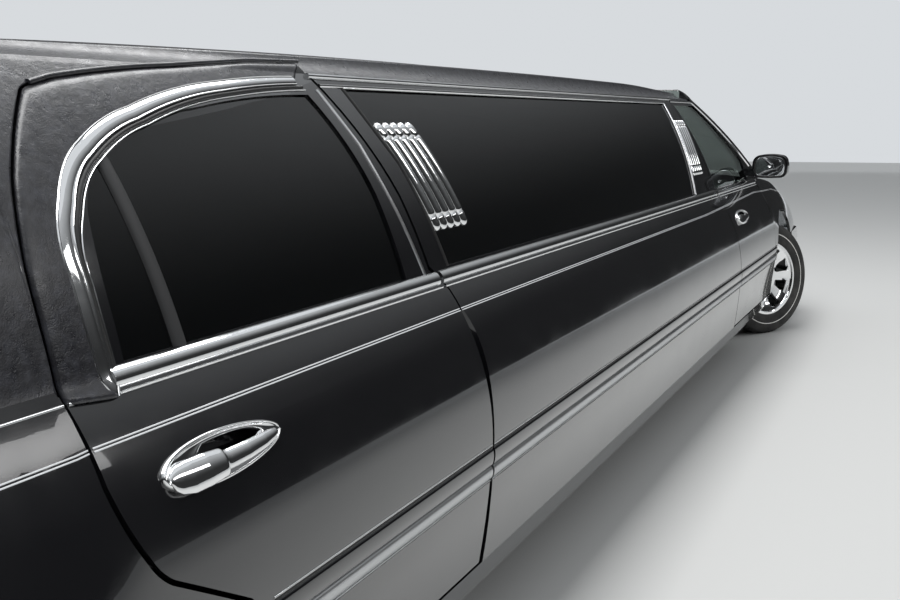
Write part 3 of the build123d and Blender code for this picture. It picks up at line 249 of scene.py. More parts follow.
dark_glass = finish("dark_glass", (0.012, 0.013, 0.014), 0.02, ior=1.5, transmission_weight=0.85)
spread(dark_glass, "Roughness", noise(dark_glass, 5.0, 5.0), 0.01, 0.035)
clear_glass = finish("clear_glass", (0.30, 0.34, 0.32), 0.02, ior=1.5, transmission_weight=1.0)
spread(clear_glass, "Roughness", noise(clear_glass, 5.0, 5.0), 0.01, 0.03)
print("finishes", len(bpy.data.materials))

# %% [markdown]
# The roof is covered with black vinyl. Its skin is pebbled like leather, with shallow creases where it was
# pulled round the body, and the sky lays a cool sheen over it. Three bumps are laid over each other, from
# pebble to crease, because one noise alone looks like sand.

# %% Vinyl
vinyl = finish("vinyl_roof", (0.012, 0.012, 0.015), 0.36, specular_ior_level=0.6, coat_weight=0.35,
               coat_roughness=0.22)
relief(vinyl, noise(vinyl, 420.0, kind="ShaderNodeTexVoronoi"), 0.0005, 0.5)
relief(vinyl, noise(vinyl, 80.0, 8.0), 0.0018, 0.5)
relief(vinyl, noise(vinyl, 17.0, 3.0, (1.0, 1.0, 0.5)), 0.0045, 0.35)
spread(vinyl, "Roughness", noise(vinyl, 40.0, 7.0), 0.26, 0.44)
spread(vinyl, "Base Color", noise(vinyl, 60.0, 9.0), (0.008, 0.008, 0.011), (0.026, 0.027, 0.034), 0.45, 0.75)
print("vinyl nodes", len(vinyl.node_tree.nodes))

# %% [markdown]
# The rest are the finishes of the running gear, the lamps, the cabin and the small trim. Each gets the wear
# or the grain of its own material: dust on rubber, rust stains on steel, ribs in a lamp, grain in leather.
# A few lines of the same helpers do for each, since they are seen small or in shade.

# %% Rubber and steels
tyre_rubber = finish("tyre_rubber", (0.018, 0.018, 0.018), 0.75)
relief(tyre_rubber, noise(tyre_rubber, 500.0, 4.0), 0.0002)
spread(tyre_rubber, "Base Color", noise(tyre_rubber, 14.0, 6.0), (0.012, 0.012, 0.012), (0.040, 0.038, 0.036))

trim_rubber = finish("trim_rubber", (0.01, 0.01, 0.01), 0.5, "tyre_rubber")
relief(trim_rubber, noise(trim_rubber, 700.0), 0.0001)

frame_steel = finish("frame_steel", (0.02, 0.02, 0.021), 0.55)
relief(frame_steel, noise(frame_steel, 120.0, 5.0), 0.0006)
spread(frame_steel, "Base Color", noise(frame_steel, 6.0, 8.0), (0.015, 0.015, 0.016), (0.075, 0.062, 0.05),
       0.5, 0.8)

bare_steel = finish("bare_steel", (0.30, 0.30, 0.31), 0.42, metallic=0.9)
relief(bare_steel, noise(bare_steel, 200.0, 5.0), 0.0004)
spread(bare_steel, "Base Color", noise(bare_steel, 9.0, 8.0), (0.34, 0.34, 0.35), (0.17, 0.13, 0.10),
       0.45, 0.75)
print("finishes", len(bpy.data.materials))

# %% Lamps and cabin
lamp_red = finish("lamp_red", (0.32, 0.008, 0.008), 0.08, transmission_weight=0.25, coat_weight=1.0)
relief(lamp_red, noise(lamp_red, 90.0, kind="ShaderNodeTexVoronoi"), 0.0015, 0.4)
lamp_clear = finish("lamp_clear", (0.72, 0.74, 0.76), 0.06, transmission_weight=0.7, coat_weight=1.0)
relief(lamp_clear, noise(lamp_clear, 60.0, kind="ShaderNodeTexVoronoi"), 0.0015, 0.3)

leather = finish("black_leather", (0.02, 0.019, 0.018), 0.45)
relief(leather, noise(leather, 420.0, kind="ShaderNodeTexVoronoi"), 0.0004, 0.5)
spread(leather, "Roughness", noise(leather, 30.0, 6.0), 0.34, 0.55)
plastic = finish("cabin_plastic", (0.022, 0.022, 0.023), 0.5)
relief(plastic, noise(plastic, 600.0, kind="ShaderNodeTexVoronoi"), 0.0002, 0.5)
carpet = finish("carpet", (0.018, 0.018, 0.019), 0.95, sheen_weight=0.4)
relief(carpet, noise(carpet, 900.0, 3.0), 0.002)
bar_wood = finish("bar_wood", (0.11, 0.045, 0.02), 0.25, coat_weight=0.6, coat_roughness=0.06)
spread(bar_wood, "Base Color", noise(bar_wood, 24.0, 8.0, (0.12, 1.0, 1.0)), (0.05, 0.018, 0.008),
       (0.20, 0.085, 0.035), 0.3, 0.7)
print("finishes", len(bpy.data.materials))

# %% Small trim
white_rubber = finish("white_rubber", (0.70, 0.69, 0.66), 0.6, "tyre_rubber")
spread(white_rubber, "Base Color", noise(white_rubber, 40.0, 6.0), (0.72, 0.71, 0.68), (0.50, 0.48, 0.44),
       0.5, 0.8)
mirror_glass = finish("mirror_glass", (0.88, 0.90, 0.92), 0.02, "chrome", metallic=1.0)
spread(mirror_glass, "Roughness", noise(mirror_glass, 30.0, 5.0), 0.012, 0.03)
stripe_paint = finish("stripe_paint", (0.62, 0.63, 0.64), 0.25, "chrome", coat_weight=1.0,
                      coat_roughness=0.03)
print("finishes", len(bpy.data.materials))

FINISHES = {
    "black_paint": black_paint, "vinyl_roof": vinyl, "chrome": chrome, "dark_glass": dark_glass,
    "clear_glass": clear_glass, "tyre_rubber": tyre_rubber, "frame_steel": frame_steel,
    "bare_steel": bare_steel, "lamp_red": lamp_red, "lamp_clear": lamp_clear, "black_leather": leather,
    "cabin_plastic": plastic, "carpet": carpet, "bar_wood": bar_wood,
}

# %% Give the frame's nodes their finishes
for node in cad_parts.values():
    for slot in node.material_slots:
        slot.material = FINISHES[slot.material.name.split(".")[0]]
print("finishes", len(FINISHES))

# %% [markdown]
# The whole side of the car follows one section: lower body, widest line, belt and leaning windows. Trim
# could be snapped onto the panels one by one. Written as a function of height, the section puts every
# moulding, stripe and seam exactly on the skin, also where a door is cut.

# %% The section of the side
HALF_WIDTH = 0.993
REAR_AXLE, FRONT_AXLE = -2.7985, 3.2395
REAR_DOOR_BACK, REAR_DOOR_FRONT = REAR_AXLE + 0.348, REAR_AXLE + 1.493
FRONT_DOOR_BACK, FRONT_DOOR_FRONT = FRONT_AXLE - 1.490, FRONT_AXLE - 0.425
BELT_Z, RAIL_Z, ROOF_EDGE_Z, ROOF_Z = 0.930, 1.389, 1.447, 1.499
# Columns: inset from the widest half width, height, bow of the run up to it
SIDE_ROWS = [(0.068, 0.215, 0.0), (0.035, 0.285, 0.0), (0.0, 0.545, 0.004), (0.126, 0.930, 0.038),
             (0.131, 0.942, 0.0), (0.353, 1.389, 0.024), (0.428, 1.447, 0.014)]


def bowed(points, steps=12, closed=False):
    """Points along a run of arcs: each row's third value is how far its arc stands off its chord."""
    rows = [tuple(p) + (0.0,) * (3 - len(p)) for p in points]
    pairs = list(zip(rows, rows[1:])) + ([(rows[-1], rows[0])] if closed else [])
    t = np.linspace(0.0, 1.0, steps, endpoint=False)
    runs = []
    for (x0, y0, _), (x1, y1, bow) in pairs:
        nx, ny = y1 - y0, x0 - x1
        rise = 4 * bow * t * (1 - t) / max(math.hypot(nx, ny), 1e-9)
        runs.append(np.column_stack([x0 + (x1 - x0) * t + nx * rise, y0 + (y1 - y0) * t + ny * rise]))
    if not closed:
        runs.append(np.array([rows[-1][:2]]))
    return np.concatenate(runs)


SIDE_LINE = bowed([(HALF_WIDTH - drop, z, bow) for drop, z, bow in SIDE_ROWS], 24)


def side_y(z, stand=0.0):
    """Half width of the body at a height, plus a distance that something stands off the skin."""
    return np.interp(z, SIDE_LINE[:, 1], SIDE_LINE[:, 0]) + stand


print("half width at the belt", round(float(side_y(BELT_Z)), 4))

# %% [markdown]
# Bright trim is pressed from strip: one small section carried along a line. A bevelled curve would do that
# too, but it twists on a leaning side. The sweep below turns the section square to the line, and to the skin
# under it, at every point.

# %% Helpers for meshes
SIDES = [("left", np.array([1.0, 1.0, 1.0])), ("right", np.array([1.0, -1.0, 1.0]))]
MERGE = 1e-5
CRISP = math.radians(35.0)


def put(name, verts, faces, material, body, smooth=True, replaces=()):
    """A mesh from arrays, given its finish and its body."""
    mesh = bpy.data.meshes.new(name)
    mesh.from_pydata(np.asarray(verts, float).tolist(), [], [list(map(int, f)) for f in faces])
    mesh.polygons.foreach_set("use_smooth", [smooth] * len(mesh.polygons))
    mesh.materials.append(material)
    mesh.update()
    piece = bpy.data.objects.new(name, mesh)
    bpy.context.scene.collection.objects.link(piece)
    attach(piece, body)
    if replaces:
        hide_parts(*replaces)
    return piece


def turned_out(piece, merge=False):
    """Turns every face of a closed shell outwards, after its doubled points are merged if it has any."""
    work = bmesh.new()
    work.from_mesh(piece.data)
    if merge:
        bmesh.ops.remove_doubles(work, verts=work.verts, dist=MERGE)
    bmesh.ops.recalc_face_normals(work, faces=work.faces)
    work.to_mesh(piece.data)
    work.free()
    return piece


def shell(name, verts, faces, material, body, replaces=()):
    """A closed piece that faces outwards, crisp along its sharper edges and smooth elsewhere."""
    piece = turned_out(put(name, verts, faces, material, body, replaces=replaces))
    piece.data.set_sharp_from_angle(angle=CRISP)
    return piece


print("sides", len(SIDES))


# %% Helpers for lines and grids
def grid_faces(rows, columns, close_rows=False, close_columns=False):
    """Quads of a grid of points stored row by row."""
    r = np.arange(rows if close_rows else rows - 1)[:, None]
    c = np.arange(columns if close_columns else columns - 1)[None, :]
    r1, c1 = (r + 1) % rows, (c + 1) % columns
    corners = [r * columns + c, r * columns + c1, r1 * columns + c1, r1 * columns + c]
    return np.stack(corners, -1).reshape(-1, 4)


def capped(rows, columns):
    """Faces of a tube stored ring by ring, with a flat cap on each end."""
    count = rows * columns
    caps = [tuple(range(columns)), tuple(range(count - 1, count - columns - 1, -1))]
    return [tuple(f) for f in grid_faces(rows, columns, close_columns=True)] + caps


def unit(v):
    """Each vector divided by its length."""
    return v / np.maximum(np.linalg.norm(v, axis=-1, keepdims=True), 1e-12)


def resampled(points, spacing, closed=False):
    """The same line with evenly spaced points."""
    points = np.asarray(points, float)
    if closed:
        points = np.vstack([points, points[:1]])
    steps = np.linalg.norm(np.diff(points, axis=0), axis=1)
    run = np.concatenate([[0.0], np.cumsum(steps)])
    count = max(int(round(run[-1] / spacing)), 2)
    at = np.linspace(0.0, run[-1], count + 1)
    if closed:
        at = at[:-1]
    return np.column_stack([np.interp(at, run, points[:, k]) for k in range(points.shape[1])])


def crowned(width, height, steps=9):
    """A closed section with a flat foot and a crown that rises as half an ellipse."""
    angle = np.linspace(0.0, math.pi, steps)
    return np.column_stack([np.cos(angle) * width / 2, np.sin(angle) * height])


print("points in a small crown", len(crowned(0.01, 0.005)))


# %% Helpers for strips
def swept(path, outward, section, closed=False):
    """A section of (across, out) rows carried along a path.

    Each point is the path's point, plus the row's first value square to the path and to the outward
    direction there, plus its second value outwards. A section may also be given for every point.
    """
    path, outward = np.asarray(path, float), np.asarray(outward, float)
    if closed:
        along = unit(np.roll(path, -1, 0) - path) + unit(path - np.roll(path, 1, 0))
    else:
        along = np.gradient(path, axis=0)
    along = unit(along)
    out = unit(outward - (outward * along).sum(1, keepdims=True) * along)
    across = np.cross(out, along)
    section = np.asarray(section, float)
    if len(section.shape) == 2:
        section = np.broadcast_to(section, (len(path),) + section.shape)
    verts = path[:, None] + across[:, None] * section[..., 0, None] + out[:, None] * section[..., 1, None]
    size = (len(path), section.shape[1])
    faces = grid_faces(*size, True, True) if closed else capped(*size)
    return verts.reshape(-1, 3), faces


def side_normal(z):
    """The left skin's outward direction at a height: square to the slope of its half width there."""
    step = 0.004
    slope = (side_y(z + step) - side_y(z - step)) / (2 * step)
    return unit(np.column_stack([np.zeros_like(slope), np.ones_like(slope), -slope]))


def on_side(xz, stand=0.0):
    """Points on the left skin, and their outward directions, from (x, z) rows."""
    xz = np.asarray(xz, float)
    return np.column_stack([xz[:, 0], side_y(xz[:, 1], stand), xz[:, 1]]), side_normal(xz[:, 1])


def both_sides(name, path, out, section, material, body):
    """A strip on the left skin and its mirror image on the right one; body may hold {side}."""
    for side, mirror in SIDES:
        verts, faces = swept(path * mirror, out * mirror, section)
        shell(f"{name}_{side}", verts, faces, material, body.format(side=side))


def line_at(x0, x1, z, count=60):
    """A level line of (x, z) rows."""
    return np.column_stack([np.linspace(x0, x1, count), np.full(count, z)])


def trim(name, xz, section, material, body, stand=0.0):
    """A strip along (x, z) rows on both skins."""
    both_sides(name, *on_side(xz, stand), section, material, body)


print("skin's direction at the belt", np.round(side_normal(np.array([BELT_Z]))[0], 3))

# %% [markdown]
# The rear side window sits in a wide, rounded chrome frame that follows the curve of the glass. Inside it
# runs a thin rubber lip, and a grey bar divides the glass near its rear end. The frame narrows forwards and
# ends in a rounded foot, so its section is given anew at every point of the line, instead of one for all.

# %% Rear window surround
BACK, FRONT, AXLE = REAR_DOOR_BACK, REAR_DOOR_FRONT, REAR_AXLE
REAR_SURROUND = [
    (BACK + 0.0865, BELT_Z - 0.022), (BACK + 0.080, 1.076, -0.004), (AXLE + 0.456, 1.170, -0.010),
    (AXLE + 0.538, 1.246, -0.009), (AXLE + 0.682, 1.299, -0.006), (AXLE + 0.956, 1.350, -0.007),
    (FRONT - 0.214, 1.370, -0.004), (FRONT - 0.207, 1.359), (FRONT - 0.165, 1.300, -0.002),
    (FRONT - 0.128, 1.163, -0.006), (FRONT - 0.082, 1.009, -0.004), (FRONT - 0.068, BELT_Z - 0.006),
]
# The broad frame takes this share of the outline, from the belt up the rear edge and over the top
FRAME_SHARE, FRAME_WIDE, FRAME_NARROWING, FRAME_HIGH = 0.68, 0.034, 0.014, 0.013
surround = resampled(bowed(REAR_SURROUND), 0.012)
top_run = surround[: int(len(surround) * FRAME_SHARE)]
frame_width = FRAME_WIDE - FRAME_NARROWING * np.clip(top_run[:, 0] - (AXLE + 0.5), 0, 1)
# Its section, one wide and one high, is a flat ellipse with a fine bead along each edge
across = np.linspace(0.5, -0.5, 31)
beads = 0.30 * np.exp(-((np.abs(across) - 0.415) / 0.045) ** 2)
frame_section = np.column_stack([across, 0.72 * np.sqrt(1 - (1.999 * across) ** 2) + beads])
# At the belt the section grows from almost nothing, as a quarter circle does
growth = np.clip(np.linspace(0, 1, len(top_run)) * len(top_run) / 2.0, 0.05, 1)
foot = np.sqrt(1 - (1 - growth) ** 2)
section = frame_section[None] * np.stack([frame_width * foot, FRAME_HIGH * foot], 1)[:, None]
both_sides("rear_window_surround", *on_side(top_run, -0.002), section, chrome, "rear_{side}_door")
print("outline of", len(surround), "points, of which the frame has", len(top_run))

# %% Lips and division of the rear window
inner_lip = top_run + [0.019, -0.012]
inner_lip = inner_lip[inner_lip[:, 1] > BELT_Z + 0.012]
trim("rear_window_lip", inner_lip, crowned(0.010, 0.006), trim_rubber, "rear_{side}_door", stand=-0.001)
trim("rear_window_lip_bright", inner_lip + [0.007, -0.005], crowned(0.004, 0.005), chrome,
     "rear_{side}_door", stand=-0.001)
DIVISION = [(AXLE + 0.603, BELT_Z + 0.012, 0.010), (AXLE + 0.570, 1.262)]
trim("rear_window_division", resampled(bowed(DIVISION), 0.015), crowned(0.029, 0.007), plastic,
     "rear_{side}_door", stand=-0.006)
print("lip of", len(inner_lip), "points")

# %% [markdown]
# Along the belt line a convex chrome moulding runs from the rear door to the front one. It is cut at each
# shut line, so each door carries its own length. One long strip would look the same at rest, but would be
# left behind when a door opens.

# %% Belt moulding
# Columns: name, where it starts and ends, how much later its lower edge starts, body
BELT_RUNS = [("rear_belt", BACK + 0.090, FRONT - 0.024, 0.004, "rear_{side}_door"),
             ("long_belt", FRONT - 0.008, FRONT_DOOR_BACK - 0.012, 0.0, "body"),
             ("front_belt", FRONT_DOOR_BACK + 0.006, FRONT_DOOR_FRONT - 0.006, 0.0, "front_{side}_door")]
BELT_EDGE_DROP = 0.0195
for name, x0, x1, late, body in BELT_RUNS:
    line = line_at(x0, x1, BELT_Z + 0.001, 40)
    trim(name, line, crowned(0.034, 0.012, 15), chrome, body, stand=-0.001)
    edge = line - [0.0, BELT_EDGE_DROP]
    edge[0, 0] += late
    trim(name + "_edge", edge, crowned(0.005, 0.006, 7), chrome, body, stand=-0.001)
print("belt runs", len(BELT_RUNS))

# %% [markdown]
# The vinyl covers the roof, the rear pillars and a band over the rear door. It is one skin in the real car.
# Boxes with rounded edges would show a joint where roof and pillar meet, so the roof's cross-section is a
# function of the place along the car: it sinks towards the rear window and runs down the side in one sheet.

# %% The roof's cross-section
RAIL_HALF, ROOF_EDGE_HALF = 0.640, 0.565
ROOF_BACK_X, HEADER_X = REAR_AXLE + 0.090, FRONT_AXLE - 1.130
BACKLIGHT_X, BACKLIGHT_Z = REAR_AXLE - 0.490, 1.058
BEAD_Z = BELT_Z - 0.0125
VINYL_STAND = 0.0015
# How much of its full crown the roof has at a place along the car
CROWN = [(-2.71, 0.38), (-2.30, 0.42), (-1.80, 0.66), (-1.30, 0.80), (-0.60, 0.93), (0.20, 1.0), (1.31, 1.0),
         (2.11, 0.55)]


def crown_at(x):
    """The share of the crown's height at a place, smoothed between the table's rows."""
    table = np.array(CROWN)
    spread_x = np.asarray(x, float)[..., None] + np.linspace(-0.25, 0.25, 11)
    return np.interp(spread_x, table[:, 0], table[:, 1]).mean(-1)


TOP_LINE = bowed([(0.0, ROOF_Z), (ROOF_EDGE_HALF, ROOF_EDGE_Z, 0.012), (RAIL_HALF, RAIL_Z, 0.014)], 22)


def roof_columns(x, low, rows_side=26):
    """Half cross-sections from the middle plane over the roof's edge and down to a height at each x."""
    x, low = np.broadcast_arrays(np.asarray(x, float), np.asarray(low, float))
    k = crown_at(x)[:, None]
    top_y = np.broadcast_to(TOP_LINE[:, 0], (len(x), len(TOP_LINE)))
    top_z = RAIL_Z + (TOP_LINE[:, 1] - RAIL_Z) * k
    down = np.linspace(0.0, 1.0, rows_side + 1)[1:]
    side_z = RAIL_Z + (np.minimum(low, RAIL_Z)[:, None] - RAIL_Z) * down
    y = np.concatenate([top_y, side_y(side_z)], 1)
    z = np.concatenate([top_z, side_z], 1)
    return np.stack([np.broadcast_to(x[:, None], y.shape), y, z], -1)


# The rear door's upper outline, from the belt up its rear edge and forward to the pillar
REAR_DOOR_UPPER = [
    (BACK, BEAD_Z), (AXLE + 0.351, 1.074), (AXLE + 0.388, 1.206, -0.005), (AXLE + 0.487, 1.337, -0.006),
    (AXLE + 0.546, 1.351), (AXLE + 0.838, 1.381, -0.003), (AXLE + 1.092, 1.402), (FRONT - 0.213, 1.408),
]
door_line = resampled(bowed(REAR_DOOR_UPPER, 10), 0.012)
print("roof falls to", round(RAIL_Z + (ROOF_Z - RAIL_Z) * float(crown_at(ROOF_BACK_X)), 3))


# %% Helpers for skins
def doubled(columns):
    """Both halves of a symmetrical skin as one grid, from the left lower edge to the right one."""
    right = columns[:, 1:] * np.array([1.0, -1.0, 1.0])
    return np.concatenate([columns[:, ::-1], right], 1)


def skin(name, grid, material, body, thickness, replaces=(), flip=False, closed=False):
    """A sheet from a grid of points, given a thickness inwards; closed joins its last column to its first."""
    rows, columns = grid.shape[:2]
    faces = grid_faces(rows, columns, close_columns=closed)
    if flip:
        faces = faces[:, ::-1]
    piece = put(name, grid.reshape(-1, 3), faces, material, body, replaces=replaces)
    wall = piece.modifiers.new("wall", "SOLIDIFY")
    wall.thickness = thickness
    wall.offset = -1.0
    wall.use_even_offset = False
    return piece


print("half columns at one place", roof_columns([0.0], RAIL_Z).shape[1])

# %% The vinyl roof
DOOR_GAP = 0.007
OVER_DOOR_BACK, OVER_DOOR_FRONT = AXLE + 0.487, FRONT - 0.19
front_x = np.linspace(OVER_DOOR_FRONT, HEADER_X, 90)
over_door_x = np.linspace(OVER_DOOR_BACK, OVER_DOOR_FRONT, 60, endpoint=False)
beside_x = np.linspace(ROOF_BACK_X, OVER_DOOR_BACK, 90, endpoint=False)
door_top_line = door_line[door_line[:, 0].argsort()]
over_low = np.interp(over_door_x, door_top_line[:, 0], door_top_line[:, 1]) + DOOR_GAP
rear_edge = door_line[door_line[:, 1] < 1.340]
beside_low = np.interp(beside_x + DOOR_GAP, rear_edge[:, 0], rear_edge[:, 1] + 0.004, left=BEAD_Z)
roof_x = np.concatenate([beside_x, over_door_x, front_x])
roof_low = np.concatenate([beside_low, over_low, np.full(len(front_x), RAIL_Z)])
lifted = roof_columns(roof_x, roof_low)
lifted[..., 1] += VINYL_STAND * np.clip((RAIL_Z + 0.002 - lifted[..., 2]) / 0.01, 0, 1)
skin("vinyl_roof_skin", doubled(lifted), vinyl, "body", 0.010, replaces=("roof_panel",))
print("roof grid", doubled(lifted).shape[:2])

# %% The vinyl on the rear pillars
# The pillar's front edge rises straight beside the rear window, and its top is rolled round that edge
PILLAR_ROLL, PILLAR_ROLL_REACH = 0.012, 0.010
pillar_x = np.linspace(BACKLIGHT_X, ROOF_BACK_X, 50)
pillar_rise, pillar_run = ROOF_EDGE_Z - 0.035 - BACKLIGHT_Z, ROOF_BACK_X - BACKLIGHT_X
slope_z = BACKLIGHT_Z + (pillar_x - BACKLIGHT_X) * pillar_rise / pillar_run
down = np.linspace(0.0, 1.0, 40)
pillar_z = slope_z[:, None] + (BEAD_Z - slope_z[:, None]) * down
rolled = PILLAR_ROLL * np.exp(-((slope_z[:, None] - pillar_z) / PILLAR_ROLL_REACH))
pillar_y = side_y(pillar_z, VINYL_STAND) - rolled
pillar = np.stack([np.broadcast_to(pillar_x[:, None], pillar_y.shape), pillar_y, pillar_z], -1)
for side, mirror in SIDES:
    skin(f"vinyl_rear_pillar_{side}", pillar * mirror, vinyl, "body", 0.003, flip=mirror[1] > 0)
print("pillar grid", pillar.shape[:2])

# %% [markdown]
# Over the rear door the vinyl fills the space between the shut line and the chrome frame. The band is ruled
# from one line to the other, and both its edges are rolled down. Cutting it out of the roof's sheet would
# leave ragged edges, and a ruled grid follows both lines exactly.

# %% The vinyl band on the rear door
def at_share(line, share):
    """Points at shares of a line's length."""
    run = np.concatenate([[0.0], np.cumsum(np.linalg.norm(np.diff(line, axis=0), axis=1))])
    return np.column_stack([np.interp(share * run[-1], run, line[:, k]) for k in range(line.shape[1])])


along = np.linspace(0.0, 1.0, 150)
outer, inner = at_share(door_line, along), at_share(top_run, along)
across = np.linspace(0.0, 1.0, 14)
band_xz = outer[:, None] * (1 - across[:, None]) + inner[:, None] * across[:, None]
stand = VINYL_STAND + 0.0015 - 0.006 * np.exp(-across / 0.05) - 0.003 * np.exp(-(1 - across) / 0.06)
band_y = side_y(band_xz[..., 1]) + stand
band = np.stack([band_xz[..., 0], band_y, band_xz[..., 1]], -1)
for side, mirror in SIDES:
    skin(f"vinyl_door_band_{side}", band * mirror, vinyl, f"rear_{side}_door", 0.003, flip=mirror[1] < 0)
print("band grid", band.shape[:2])

# %% [markdown]
# A cord of light piping finishes the lower edge of the vinyl, and the roof's edge over the doors is rolled
# round a cord of its own. Both are thin enough for a half round strip on the skin, with nothing behind it.

# %% Piping
PIPE = crowned(0.0055, 0.004, 7)
trim("piping_quarter", line_at(BACKLIGHT_X + 0.01, BACK - 0.008, BEAD_Z), PIPE, satin_metal, "body")
trim("piping_door", line_at(BACK + 0.001, BACK + 0.085, BEAD_Z, 12), PIPE, satin_metal, "rear_{side}_door")
over_edge = np.column_stack([roof_x, roof_low])[(roof_x > AXLE + 0.50) & (roof_x < OVER_DOOR_FRONT)]
trim("roof_edge_cord", over_edge, crowned(0.010, 0.005), vinyl, "body", stand=0.001)
print("cord of", len(over_edge), "points")

# %% [markdown]
# Two bright drip rails run above the long window. The lower one edges the glass, and the upper one goes on
# over the front door and down beside the windscreen. They are strips again: a few corners on the skin, evened
# out where the real rail bends, because a sharp corner would pinch the section.

# %% Drip rails
SCREEN_BASE_X, SCREEN_BASE_Z, HEADER_Z = FRONT_AXLE - 0.280, 0.985, 1.444
SCREEN_SLOPE = (HEADER_Z - SCREEN_BASE_Z) / (SCREEN_BASE_X - HEADER_X)
DOOR_TOP = RAIL_Z - 0.0075
trim("drip_rail", line_at(FRONT - 0.196, FRONT_DOOR_BACK - 0.045, 1.3835, 80), crowned(0.013, 0.008), chrome,
     "body")
trim("window_top_rail", line_at(FRONT - 0.170, FRONT_DOOR_BACK - 0.205, 1.363, 80), crowned(0.009, 0.006, 7),
     chrome, "body", stand=-0.001)
rail_z = DOOR_TOP - 0.008
corner_x = HEADER_X + (HEADER_Z - DOOR_TOP) / SCREEN_SLOPE - 0.082
foot_z = HEADER_Z - (FRONT_DOOR_FRONT + 0.080 - HEADER_X) * SCREEN_SLOPE
front_rail = resampled([(FRONT_DOOR_BACK - 0.060, rail_z), (corner_x, rail_z),
                        (FRONT_DOOR_FRONT - 0.002, foot_z)], 0.015)
front_rail[1:-1] = (front_rail[:-2] + 2 * front_rail[1:-1] + front_rail[2:]) / 4
trim("front_drip_rail", front_rail, crowned(0.011, 0.006), chrome, "front_{side}_door", stand=-0.001)
print("front rail of", len(front_rail), "points")

# %% Window edges
DOOR_PILLAR = [(FRONT - 0.190, 1.354), (FRONT - 0.142, 1.235, 0.002), (FRONT - 0.106, 1.087, 0.002),
               (FRONT - 0.069, 0.946, 0.001)]
FRONT_EDGE = [(FRONT_DOOR_BACK - 0.205, 1.362), (FRONT_DOOR_BACK - 0.262, 1.237),
              (FRONT_DOOR_BACK - 0.400, 0.950)]
REAR_EDGE = [(FRONT - 0.078, 1.362), (FRONT - 0.005, 1.190, 0.006), (FRONT + 0.052, 0.951)]
EDGES = [("rear_window_front_edge", resampled(bowed(DOOR_PILLAR), 0.012), 0.011, satin_metal,
          "rear_{side}_door"),
         ("long_window_front_edge", resampled(FRONT_EDGE, 0.02), 0.010, satin_metal, "body"),
         ("long_window_rear_edge", resampled(bowed(REAR_EDGE), 0.012), 0.010, trim_rubber, "body")]
for name, line, width, material, body in EDGES:
    trim(name, line, crowned(width, 0.004, 7), material, body, stand=-0.001)
print("window edges", len(EDGES))

# %% [markdown]
# At each end of the long window stand five half-round chrome bars with rounded ends. Cylinders with balls on
# them would stand off the curved glass. Each bar is one section carried up the glass instead, and the section
# shrinks to a tip at both ends as a quarter circle does.

# %% Window bars
BAR_COUNT, BAR_POINTS = 5, 100
BAR_PITCH, BAR_WIDTH, BAR_DEPTH, BAR_LOW, BAR_HIGH = 0.038, 0.034, 0.010, 1.030, 1.282
# Places of the two fine necks, as shares of the bar's height, and their depth and reach
BAR_NECKS, NECK_DEPTH, NECK_REACH = (0.14, 0.87), 0.22, 0.012
# Columns: name, foot of the first bar, how far its top leans forward, stand off the skin
BAR_SETS = [("rear", FRONT + 0.065, -0.078, -0.0055), ("front", FRONT_DOOR_BACK - 0.320, 0.100, 0.0)]


def round_ended(length, count, reach):
    """How much of its section a bar has along its length, falling to a tip within a reach of each end."""
    at = np.linspace(0.0, length, count)
    near = np.clip(np.minimum(at, length - at) / reach, 0.0, 1.0)
    return np.sqrt(np.maximum(1 - (1 - near) ** 2, 0.0004))


rise = np.linspace(0.0, 1.0, BAR_POINTS)
fullness = round_ended(BAR_HIGH - BAR_LOW, BAR_POINTS, BAR_WIDTH / 2)
for neck in BAR_NECKS:
    fullness = fullness * (1 - NECK_DEPTH * np.exp(-((rise - neck) / NECK_REACH) ** 2))
bar_section = crowned(BAR_WIDTH, BAR_DEPTH, 13)[None] * fullness[:, None, None]
for set_name, foot_x, lean, seat in BAR_SETS:
    for side, mirror in SIDES:
        verts, faces = [], []
        for i in range(BAR_COUNT):
            x = foot_x + i * BAR_PITCH + lean * (0.75 * rise + 0.25 * rise ** 2)
            line = np.column_stack([x, BAR_LOW + (BAR_HIGH - BAR_LOW) * rise])
            path, out = on_side(line, seat)
            bar_verts, bar_faces = swept(path * mirror, out * mirror, bar_section)
            faces += [tuple(k + i * len(bar_verts) for k in face) for face in bar_faces]
            verts.append(bar_verts)
        shell(f"window_bars_{set_name}_{side}", np.concatenate(verts), faces, chrome, "body",
              replaces=("window_bars",) if (set_name, side) == ("rear", "left") else ())
print("bars", BAR_COUNT * len(BAR_SETS) * len(SIDES))

# %% [markdown]
# Ahead of the front door and behind the rear one the body draws in. Rays shot at the panels would find the
# skin there, but with the small steps of their triangles. The same section is shifted and stretched by two
# small tables instead, so stripes and mouldings stay on the skin and keep smooth.

# %% The skin near the ends
# Columns: place, how far the side is tucked in, height of the shoulder
TUCK = np.array([(AXLE - 1.410, 0.066, 0.916), (AXLE - 1.000, 0.030, 0.940), (AXLE - 0.500, 0.008, 0.944),
                 (AXLE + 0.200, 0.000, 0.931), (AXLE + 0.700, 0.000, 0.930),
                 (FRONT_AXLE - 0.419, 0.000, 0.930), (FRONT_AXLE - 0.150, 0.003, 0.918),
                 (FRONT_AXLE + 0.250, 0.015, 0.885), (FRONT_AXLE + 0.600, 0.040, 0.838),
                 (FRONT_AXLE + 0.940, 0.082, 0.766)])
WIDEST_Z = 0.545
# Past the doors, this far from this place on either side, the shoulder stands a little further out
CABIN_MIDDLE_X, CABIN_REACH, SHOULDER_STAND = 0.18, 2.64, 0.004


